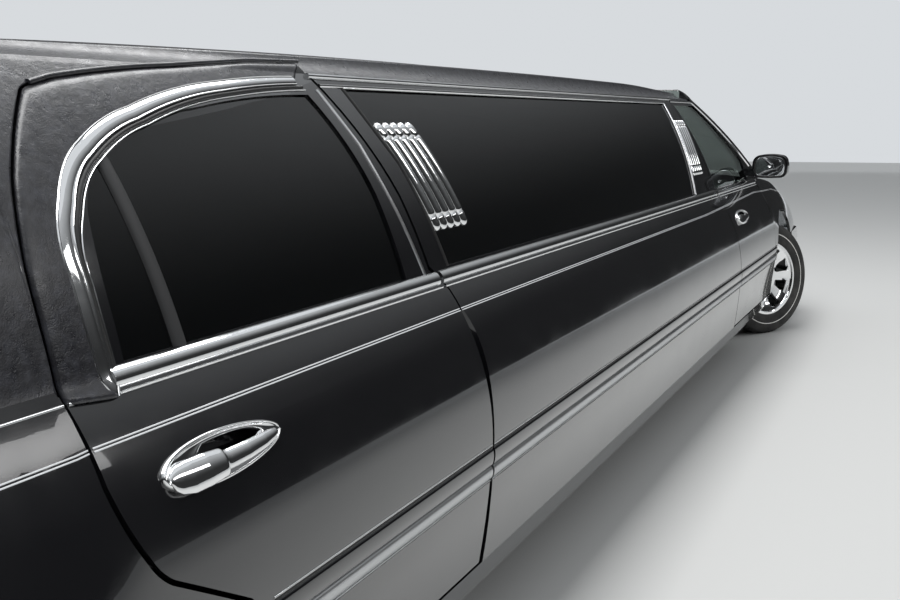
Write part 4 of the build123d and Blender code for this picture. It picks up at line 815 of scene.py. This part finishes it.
def body_y(x, z, stand=0.0):
    """Half width of the skin anywhere between the lamps.

    The height is first stretched so that the shoulder at this place falls on the belt. The side's half
    width there, less the tuck, is the skin.
    """
    x, z = np.asarray(x, float), np.asarray(z, float)
    shoulder = np.interp(x, TUCK[:, 0], TUCK[:, 2])
    rise = np.clip((z - WIDEST_Z) / (shoulder - WIDEST_Z), 0.0, None)
    same_z = np.where(z > WIDEST_Z, WIDEST_Z + rise * (BELT_Z - WIDEST_Z), z)
    ended = np.clip((np.abs(x - CABIN_MIDDLE_X) - CABIN_REACH) / 0.02, 0.0, 1.0)
    tuck = np.interp(x, TUCK[:, 0], TUCK[:, 1])
    return side_y(same_z, stand) - tuck + ended * SHOULDER_STAND * np.clip(rise, 0, 1)


def strip(name, x0, x1, z_of_x, section, material, body, stand=0.0, count=60):
    """A strip along the whole skin, ends included, on both sides; its height may be a function of x."""
    x = np.linspace(x0, x1, count)
    z = z_of_x(x) if callable(z_of_x) else np.full(count, z_of_x)
    path = np.column_stack([x, body_y(x, z, stand), z])
    both_sides(name, path, side_normal(z), section, material, body)


print("half width of the fender's end", round(float(body_y(FRONT_AXLE + 0.94, 0.7)), 3))

# %% [markdown]
# A double pinstripe runs the whole length just under the belt. Low on the doors a moulding carries a pale
# strip between two fine bright lines, with a groove above it. Stripes painted in the material would need a
# mask on each panel, so they are strips too, less than a millimetre high and cut at every shut line.

# %% Pinstripes
STRIPE_Z, STRIPE_END_Z, STRIPE_APART = 0.861, 0.889, 0.0021
GAP = 0.006
# Columns: name, where it starts and ends, body
SKIN_RUNS = [("quarter", AXLE - 1.08, BACK - GAP, "body"),
             ("rear_door", BACK + GAP / 2, FRONT - GAP / 2, "rear_{side}_door"),
             ("long", FRONT + GAP, FRONT_DOOR_BACK - GAP, "body"),
             ("front_door", FRONT_DOOR_BACK + GAP / 2, FRONT_DOOR_FRONT - GAP / 2, "front_{side}_door"),
             ("fender", FRONT_DOOR_FRONT + GAP, FRONT_AXLE + 0.62, "body")]


def stripe_z(x):
    """The stripe lies level and rises a little over the front door, then falls along the fender."""
    return np.interp(x, [FRONT_DOOR_BACK - 0.4, FRONT_DOOR_FRONT - 0.2, FRONT_AXLE, FRONT_AXLE + 0.62],
                     [STRIPE_Z, STRIPE_END_Z - 0.008, 0.862, 0.800])


for name, x0, x1, body in SKIN_RUNS:
    for line_name, shift in (("upper", STRIPE_APART), ("lower", -STRIPE_APART)):
        strip(f"pinstripe_{line_name}_{name}", x0, x1, lambda x, s=shift: stripe_z(x) + s,
              crowned(0.0025, 0.0008, 5), stripe_paint, body, stand=0.0003)
print("stripe runs", len(SKIN_RUNS))

# %% Lower moulding
MOULDING_RUNS = [("quarter", AXLE + 0.372, AXLE + 0.627, "body"),
                 ("rear_door", AXLE + 0.640, FRONT - GAP / 2, "rear_{side}_door"), SKIN_RUNS[2], SKIN_RUNS[3],
                 ("fender", FRONT_DOOR_FRONT + GAP, FRONT_AXLE - 0.372, "body")]
# Columns: name, height of its middle, width, how far it stands out, finish
MOULDING = [("groove", 0.5555, 0.004, 0.0012, trim_rubber), ("top_line", 0.5605, 0.003, 0.0018, chrome),
            ("band", 0.5330, 0.040, 0.0055, black_paint), ("pale_strip", 0.4985, 0.028, 0.0065, satin_metal),
            ("low_line", 0.4810, 0.004, 0.0045, chrome)]
for name, x0, x1, body in MOULDING_RUNS:
    for part, z, width, height, material in MOULDING:
        strip(f"moulding_{part}_{name}", x0, x1, z, crowned(width, height), material, body)
print("moulding strips", len(MOULDING) * len(MOULDING_RUNS) * len(SIDES))

# %% [markdown]
# The door handle is a chrome oval: a raised rim, a plate that dips towards a finger opening, and a grip that
# starts as a broad cap at the rear and thins to a bar in front of the opening. Modelled by hand it would
# take many loops. Three grids between a few measured outlines keep all its reflections smooth.

# %% Outlines of the door handle
HANDLE_Z, OVAL_LONG, OVAL_HIGH, OVAL_TAPER = 0.796, 0.137, 0.0315, 0.14
OPENING = [(-0.050, 0.006), (0.070, 0.003), (0.092, 0.011, 0.003), (0.050, 0.0215, 0.002),
           (-0.030, 0.0235, 0.001)]
OPENING_MIDDLE = (0.015, 0.010)
# Grip, columns: along from the middle, half height, height of its middle, how far out, half thickness
GRIP = np.array([(-0.131, 0.002, -0.003, 0.006, 0.002), (-0.128, 0.012, -0.004, 0.007, 0.005),
                 (-0.118, 0.0185, -0.005, 0.009, 0.007), (-0.095, 0.0225, -0.006, 0.011, 0.009),
                 (-0.060, 0.0225, -0.006, 0.012, 0.010), (-0.025, 0.0200, -0.006, 0.012, 0.010),
                 (-0.020, 0.0190, -0.006, 0.012, 0.009), (-0.0185, 0.0150, -0.006, 0.010, 0.008),
                 (-0.010, 0.0140, -0.006, 0.010, 0.007), (0.040, 0.0130, -0.005, 0.011, 0.007),
                 (0.085, 0.0110, -0.003, 0.010, 0.006), (0.112, 0.0085, -0.001, 0.008, 0.005),
                 (0.124, 0.0060, 0.000, 0.007, 0.004), (0.129, 0.0015, 0.000, 0.006, 0.002)])


def handle_points(u, w, out, middle_x):
    """Points on the left door: u along it and w up it from the handle's middle, and out from its skin."""
    return np.stack([u + middle_x, side_y(w + HANDLE_Z) + out, w + HANDLE_Z], -1)


def oval(angle):
    """The plate's outline: an ellipse whose height shrinks with the cosine, so it is broader at the rear."""
    high = OVAL_HIGH * np.sin(angle) * (1 - OVAL_TAPER * np.cos(angle))
    return np.column_stack([OVAL_LONG * np.cos(angle), high])


turn = np.linspace(0.0, 2 * math.pi, 97)[:-1]
rim = oval(turn)
opening = resampled(bowed(OPENING, 8, closed=True), 0.001, closed=True)
# The opening's points are sorted by their angle, so that each point of the rim has its partner
opening_angle = np.arctan2((opening[:, 1] - OPENING_MIDDLE[1]) / OVAL_HIGH,
                           (opening[:, 0] - OPENING_MIDDLE[0]) / OVAL_LONG)
order = opening_angle.argsort()
angles = np.concatenate([opening_angle[order] + shift for shift in (-2 * math.pi, 0.0, 2 * math.pi)])
opening_at = np.column_stack([np.interp(turn, angles, np.tile(opening[order, k], 3)) for k in (0, 1)])
print("points round the rim", len(rim), "and round the opening", len(opening))

# %% Door handles
HANDLES = [("front", FRONT_DOOR_BACK + 0.265), ("rear", REAR_DOOR_BACK + 0.232)]
RIM_SECTION = crowned(0.0055, 0.0075)
# The plate is ruled from the rim to the opening, dips on the way and turns in at the opening's edge
share = np.linspace(0.0, 1.0, 12)[:, None, None]
plate = rim[None] * (1 - share) + opening_at[None] * share
plate_out = (0.0055 - 0.0035 * np.sin(share[..., 0] * math.pi * 0.8)
             - 0.012 * np.clip(share[..., 0] - 0.82, 0, 1) / 0.18)
plate_out = np.broadcast_to(plate_out, plate.shape[:2])
# The grip is a tube of ellipses whose sizes and places come from the table, evened out a little
GRIP_POINTS, GRIP_AROUND = 130, 48
grip_u = np.linspace(GRIP[0, 0], GRIP[-1, 0], GRIP_POINTS)
half, middle, far, thick = [np.convolve(np.pad(np.interp(grip_u, GRIP[:, 0], GRIP[:, k]), 1, mode="edge"),
                                        [0.25, 0.5, 0.25], "valid")[:, None] for k in (1, 2, 3, 4)]
ring_turn = np.linspace(0.0, 2 * math.pi, GRIP_AROUND + 1)[:-1]
grip_w, grip_out = middle + half * np.sin(ring_turn), far + thick * np.cos(ring_turn)
for end, middle_x in HANDLES:
    rim_path = handle_points(rim[:, 0], rim[:, 1], -0.001, middle_x)
    rim_normal = side_normal(rim[:, 1] + HANDLE_Z)
    plate_points = handle_points(plate[..., 0], plate[..., 1], plate_out, middle_x)
    grip = handle_points(np.broadcast_to(grip_u[:, None], grip_w.shape), grip_w, grip_out, middle_x)
    for side, mirror in SIDES:
        body = f"{end}_{side}_door"
        verts, faces = swept(rim_path * mirror, rim_normal * mirror, RIM_SECTION, closed=True)
        turned_out(put(f"handle_rim_{end}_{side}", verts, faces, chrome, body, replaces=(f"{body}_handle",)))
        skin(f"handle_plate_{end}_{side}", plate_points * mirror, chrome, body, 0.001, flip=mirror[1] > 0,
             closed=True)
        shell(f"handle_grip_{end}_{side}", (grip * mirror).reshape(-1, 3), capped(GRIP_POINTS, GRIP_AROUND),
              chrome, body)
print("handles", len(HANDLES) * len(SIDES))

# %% [markdown]
# The tyres carry a real tread: four grooves round the wheel, open cuts over the shoulders and fine slits in
# the ribs between. A thin white line runs round the outer sidewall. Cutting each groove with a boolean would
# be slow and rough, so the tread is a rule in the turned grid: where a cut is due, the radius drops.

# %% The tyre's section and tread
TYRE_R, TYRE_HALF, RIM_R = 0.330, 0.1125, 0.216
# Points round the tyre, and how many of them one block of the tread takes
SPIN, BLOCK = 360, 5
GROOVES, GROOVE_DEPTH, SHOULDER_AT = (-0.052, -0.018, 0.018, 0.052), 0.007, 0.0835
CUT_DEPTH, SLIT_DEPTH, TREAD_DEPTH, TREAD_SKEW = 0.006, 0.003, 0.012, 0.9
RIDGE_R, RIDGE_HIGH = 0.296, 0.0012
SIDE_WALL = [(TYRE_R - 0.001, -TYRE_HALF + 0.027), (TYRE_R - 0.030, -TYRE_HALF + 0.006, -0.006),
             (RIM_R + 0.034, -TYRE_HALF + 0.004, -0.003), (RIM_R, -TYRE_HALF + 0.016, -0.004)]
side_wall = resampled(bowed(SIDE_WALL), 0.005)
ribs = [(TYRE_R, -SHOULDER_AT)]
for middle in GROOVES:
    ribs += [(TYRE_R, middle - 0.006), (TYRE_R - GROOVE_DEPTH, middle - 0.004),
             (TYRE_R - GROOVE_DEPTH, middle + 0.004), (TYRE_R, middle + 0.006), (TYRE_R, middle + 0.013)]
ribs[-1] = (TYRE_R, SHOULDER_AT)
section = np.vstack([side_wall[::-1], ribs, side_wall * [1.0, -1.0]])
around = np.arange(SPIN) * 2 * math.pi / SPIN
radius = np.broadcast_to(section[:, 0], (SPIN, len(section))).copy()
across = np.broadcast_to(section[:, 1], radius.shape)
# The radius drops in the cuts over the shoulders and in the slits of the ribs
step = np.arange(SPIN)[:, None] % BLOCK
shoulder = (np.abs(across) > 0.056) & (radius > TYRE_R - TREAD_DEPTH)
slit = (np.abs(across) <= 0.056) & (radius > TYRE_R - 0.002)
radius -= CUT_DEPTH * (shoulder & (step == 0)) + SLIT_DEPTH * (slit & (step == 2))
# A fine ridge runs round each sidewall, and the tread's blocks are skewed towards the shoulders
across = across + RIDGE_HIGH * np.sign(across) * np.exp(-((radius - RIDGE_R) / 0.004) ** 2)
angle = around[:, None] + TREAD_SKEW * np.abs(across) * (radius > TYRE_R - TREAD_DEPTH)
print("tyre grid", radius.shape)

# %% Tyres and their white lines
# Columns: name, centre, outward direction of the axle
WHEELS = [("rear_left", (REAR_AXLE, 0.833, TYRE_R), (0.0, 1.0, 0.0)),
          ("rear_right", (REAR_AXLE, -0.833, TYRE_R), (0.0, -1.0, 0.0)),
          ("front_left", (3.262443, 0.817766, TYRE_R), (0.573576, 0.819152, 0.0)),
          ("front_right", (3.216557, -0.817766, TYRE_R), (-0.573576, -0.819152, 0.0))]
LINE_R, LINE_SECTION = 0.2700, crowned(0.006, 0.0016, 5)
UP = np.array([0.0, 0.0, 1.0])
line_turn = np.linspace(0.0, 2 * math.pi, 145)[:-1, None]
line_at_side = np.interp(LINE_R, side_wall[::-1, 0], -side_wall[::-1, 1])
for name, centre, axis in WHEELS:
    out, centre = np.array(axis), np.array(centre)
    ahead = np.cross(out, UP)
    spokes = np.cos(angle)[..., None] * ahead + np.sin(angle)[..., None] * UP
    verts = centre + across[..., None] * out + radius[..., None] * spokes
    shell(f"tyre_{name}", verts.reshape(-1, 3), grid_faces(SPIN, len(section), True, True), tyre_rubber,
          f"{name}_wheel", replaces=(f"{name}_tyre",))
    circle = np.cos(line_turn) * ahead + np.sin(line_turn) * UP
    path = centre + LINE_R * circle + (line_at_side - 0.001) * out
    verts, faces = swept(path, np.broadcast_to(out, path.shape), LINE_SECTION, closed=True)
    shell(f"white_line_{name}", verts, faces, white_rubber, f"{name}_wheel")
print("tyres", len(WHEELS))

# %% [markdown]
# Each mirror has a slightly domed glass in the recess of its housing, held by a thin black bezel. A flat disc
# would mirror one even patch, so the glass is made of rings that shrink to its middle and rise a little.

# %% Mirror glasses
# Columns: from the widest line inwards, height, bow
MIRROR_OUTLINE = [
    (-0.105, 1.000, 0.002), (-0.087, 0.962, 0.006), (0.062, 0.962, 0.004), (0.092, 1.000, 0.009),
    (0.092, 1.050, 0.003), (0.057, 1.087, 0.010), (-0.068, 1.085, 0.006), (-0.105, 1.035, 0.010),
]
MIRROR_X, MIRROR_DOME, MIRROR_MIDDLE = FRONT_DOOR_FRONT - 0.140 - 0.0265, 0.003, np.array([-0.006, 1.025])
outline = resampled(bowed(MIRROR_OUTLINE, 10, closed=True), 0.006, closed=True)
share = np.linspace(0.03, 0.855, 12)[:, None, None]
rings = MIRROR_MIDDLE + (outline[None] - MIRROR_MIDDLE) * share
# The glass stands furthest back in its middle, and falls off with the square of the way to its edge
glass_x = np.broadcast_to(MIRROR_X - MIRROR_DOME * (1 - (share[..., 0] / 0.86) ** 2), rings.shape[:2])
for side, mirror in SIDES:
    points = np.stack([glass_x, rings[..., 0] + HALF_WIDTH, rings[..., 1]], -1) * mirror
    skin(f"mirror_glass_{side}", points, mirror_glass, f"front_{side}_door", 0.002, flip=mirror[1] < 0,
         closed=True)
    path = points[-1] - [0.0005, 0.0, 0.0]
    backwards = np.broadcast_to([-1.0, 0.0, 0.0], path.shape)
    verts, faces = swept(path, backwards, crowned(0.006, 0.003, 7), closed=True)
    shell(f"mirror_bezel_{side}", verts, faces, trim_rubber, f"front_{side}_door")
print("mirror grid", rings.shape[:2])

# %% [markdown]
# The seats are stuffed leather. A cushion is a crowned closed form, fuller in the middle, and sewn channels
# draw its top in. A bevelled box would keep flat faces between its edges. A ball in two angles, pushed out
# towards a box, is full everywhere and has no corners to hide.

# %% Helpers for seats
PAD_AROUND, PAD_UP = 96, 49


def soft(wave, power):
    """A wave made squarer: its size raised to a power below one, with its own sign."""
    return np.sign(wave) * np.abs(wave) ** power


def pad(name, centre, half, channels=0, lean=0.0, replaces=()):
    """A cushion about a centre, with half its length, width and thickness, leant back by an angle.

    Its points are (cos v cos u, cos v sin u, sin v), each wave made squarer. The top falls off with the
    square of the distance from the middle, and each channel sinks it along a bell curve.
    """
    u = np.linspace(0.0, 2 * math.pi, PAD_AROUND + 1)[:-1]
    v = np.linspace(-math.pi / 2, math.pi / 2, PAD_UP)[:, None]
    x = soft(np.cos(v), 0.35) * soft(np.cos(u), 0.35)
    y = soft(np.cos(v), 0.35) * soft(np.sin(u), 0.35)
    z = soft(np.sin(v), 0.6) * np.ones_like(u)
    z = z * (1 - 0.12 * (x ** 2 + y ** 2) / 2)
    if channels:
        seam = np.exp(-(((y * 0.5 + 0.5) * channels % 1.0 - 0.5) / 0.07) ** 2)
        z = z - 0.10 * seam * (z > 0.3) * np.clip(1 - np.maximum(np.abs(x), np.abs(y)) ** 6, 0, 1)
    points = np.stack([x * half[0], y * half[1], z * half[2]], -1)
    c, s = math.cos(lean), math.sin(lean)
    points = points @ np.array([[c, 0, -s], [0, 1, 0], [s, 0, c]]) + np.array(centre)
    faces = grid_faces(PAD_UP, PAD_AROUND, close_columns=True)
    piece = put(name, points.reshape(-1, 3), faces, leather, "body", replaces=replaces)
    turned_out(piece, merge=True)
    return piece


def plinth(name, low, high):
    """A box with eased edges between two corners, under a cushion."""
    (x0, y0, z0), (x1, y1, z1) = low, high
    verts = [(x, y, z) for z in (z0, z1) for x, y in ((x0, y0), (x1, y0), (x1, y1), (x0, y1))]
    faces = [(0, 3, 2, 1), (4, 5, 6, 7), (0, 1, 5, 4), (1, 2, 6, 5), (2, 3, 7, 6), (3, 0, 4, 7)]
    piece = put(name, np.array(verts, float), faces, plastic, "body", smooth=False)
    bevel = piece.modifiers.new("eased", "BEVEL")
    bevel.width, bevel.segments = 0.008, 3
    return piece


print("points of a pad", PAD_AROUND * PAD_UP)

# %% Seats
FLOOR_Z, BACK_LEAN, LOUNGE_LEAN = 0.3675, -math.radians(107), -math.radians(106)
seat_x, bench_x = FRONT_AXLE - 1.480, REAR_AXLE + 0.480
for side, y in (("left", 0.370), ("right", -0.370)):
    plinth(f"front_seat_base_{side}", (seat_x + 0.03, y - 0.22, FLOOR_Z), (seat_x + 0.49, y + 0.22, 0.485))
    pad(f"front_cushion_{side}", (seat_x + 0.262, y, 0.560), (0.256, 0.248, 0.086), 5, -0.03,
        replaces=("front_seats",) if side == "left" else ())
    pad(f"front_back_{side}", (seat_x - 0.028, y, 0.900), (0.275, 0.238, 0.062), 5, BACK_LEAN)
for i, y in enumerate((-0.465, 0.0, 0.465)):
    pad(f"lounge_cushion_{i + 1}", (bench_x + 0.240, y, 0.610), (0.232, 0.231, 0.088), 3,
        replaces=("lounge_seats",) if i == 0 else ())
    pad(f"lounge_back_{i + 1}", (bench_x - 0.142, y * 0.915, 0.885), (0.245, 0.211, 0.062), 3, LOUNGE_LEAN)
side_x0, side_x1 = REAR_AXLE + 0.953, FRONT_DOOR_BACK - 0.402
places = np.linspace(side_x0, side_x1, 6)
half_length = (places[1] - places[0]) / 2
for i, x in enumerate(places[:-1] + half_length):
    pad(f"side_cushion_{i + 1}", (x, 0.500, 0.610), (half_length - 0.001, 0.198, 0.088), 3)
    pad(f"side_back_{i + 1}", (x, 0.652, 0.800), (half_length - 0.001, 0.046, 0.098))
plinth("lounge_base", (bench_x + 0.060, -0.690, FLOOR_Z), (bench_x + 0.462, 0.690, 0.530))
plinth("side_base", (side_x0, 0.320, FLOOR_Z), (side_x1, 0.690, 0.530))
print("places on the side bench", len(places) - 1)

# %% [markdown]
# The CAD panels at both ends are lofted in bands, and polished lacquer shows each join as a broken highlight.
# Such a panel is copied, merged and divided evenly, and its shading normals are then evened out between
# its real edges. Smoothing the mesh would move the surface off its real size, and this moves nothing.

# %% Even shading on the end panels
SHARP, LONGEST_EDGE, DIVISIONS, EVENINGS = math.radians(28.0), 0.055, 6, 40


def eased(node, body):
    """A lacquered copy of a node whose normals are averaged with their neighbours', up to sharp edges."""
    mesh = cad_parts[node].data.copy()
    work = bmesh.new()
    work.from_mesh(mesh)
    bmesh.ops.remove_doubles(work, verts=work.verts, dist=MERGE)
    for _ in range(DIVISIONS):
        long_edges = [e for e in work.edges if e.calc_length() > LONGEST_EDGE]
        if not long_edges:
            break
        bmesh.ops.subdivide_edges(work, edges=long_edges, cuts=1, use_grid_fill=False)
        bmesh.ops.triangulate(work, faces=[f for f in work.faces if len(f.verts) > 3])
    bmesh.ops.recalc_face_normals(work, faces=work.faces)
    verts = np.array([v.co[:] for v in work.verts])
    faces = [tuple(v.index for v in f.verts) for f in work.faces]
    sharp = [e for e in work.edges if len(e.link_faces) != 2 or e.calc_face_angle(0.0) > SHARP]
    bmesh.ops.split_edges(work, edges=sharp)
    work.normal_update()
    work.verts.index_update()
    normals = np.array([v.normal[:] for v in work.verts])
    pairs = np.array([(e.verts[0].index, e.verts[1].index) for e in work.edges])
    for _ in range(EVENINGS):
        total = normals.copy()
        np.add.at(total, pairs[:, 0], normals[pairs[:, 1]])
        np.add.at(total, pairs[:, 1], normals[pairs[:, 0]])
        normals = unit(total)
    corners = normals[[v.index for f in work.faces for v in f.verts]]
    work.free()
    piece = put(f"{node}_lacquer", verts, faces, black_paint, body, replaces=(node,))
    piece.data.normals_split_custom_set(corners)
    return piece


FIXED_PANELS = ["front_fenders", "quarter_panels", "rear_deck", "tail_panel", "front_bumper", "rear_bumper",
                "cowl_panel"]
for node in ["bonnet", "boot_lid"]:
    eased(node, node)
for node in FIXED_PANELS:
    print(node, "triangles", len(eased(node, "body").data.polygons))

# %% [markdown]
# The ends get their bright trim. Bumpers and boot lid have forms of their own, which the side's section
# doesn't know, so each line is dropped onto the panel below it by rays, and its directions are evened out.

# %% Trim on the ends
def dropped(nodes, starts, direction):
    """Where lines from these starts along one direction first meet the nodes, and the normals there."""
    meshes = [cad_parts[n].data for n in nodes]
    trees = [BVHTree.FromPolygons([v.co[:] for v in mesh.vertices], [p.vertices[:] for p in mesh.polygons])
             for mesh in meshes]
    places, normals = [], []
    for start in starts:
        rays = [tree.ray_cast(Vector(start), Vector(direction), RAY_LENGTH) for tree in trees]
        hits = [hit for hit in rays if hit[0] is not None]
        if hits:
            place, normal = min(hits, key=lambda hit: hit[3])[:2]
            places.append(place[:])
            normals.append(normal[:])
    return np.array(places), unit(np.array(normals))


def evened(values, reach=3):
    """Each value of a column as the mean of its neighbours within a reach."""
    window = 2 * reach + 1
    return np.convolve(np.pad(values, reach, mode="edge"), np.ones(window) / window, "valid")


CAR_MIDDLE_X, RAY_START, RAY_LENGTH = (REAR_AXLE + FRONT_AXLE) / 2, 6.0, 4.0
# Columns: name, nodes below, which end, height, half width, section, body
END_STRIPS = [
    ("rear_bumper_strip", ["rear_bumper"], -1.0, 0.538, 0.86, crowned(0.024, 0.008, 11), "body"),
    ("front_bumper_strip", ["front_bumper"], 1.0, 0.538, 0.86, crowned(0.024, 0.008, 11), "body"),
    ("boot_strip", ["boot_lid", "tail_panel"], -1.0, 0.845, 0.52, crowned(0.022, 0.010, 11), "boot_lid"),
    ("boot_low_strip", ["boot_lid", "tail_panel"], -1.0, 0.640, 0.50, crowned(0.008, 0.005, 7), "boot_lid"),
]
for name, nodes, end, z, half, section, body in END_STRIPS:
    starts = [(end * RAY_START + CAR_MIDDLE_X, y * half, z) for y in np.linspace(-1.0, 1.0, 81)]
    path, out = dropped(nodes, starts, (-end, 0.0, 0.0))
    verts, faces = swept(path, unit(np.apply_along_axis(evened, 0, out)), section)
    shell(name, verts, faces, chrome, body)
    print(name, "points", len(path))
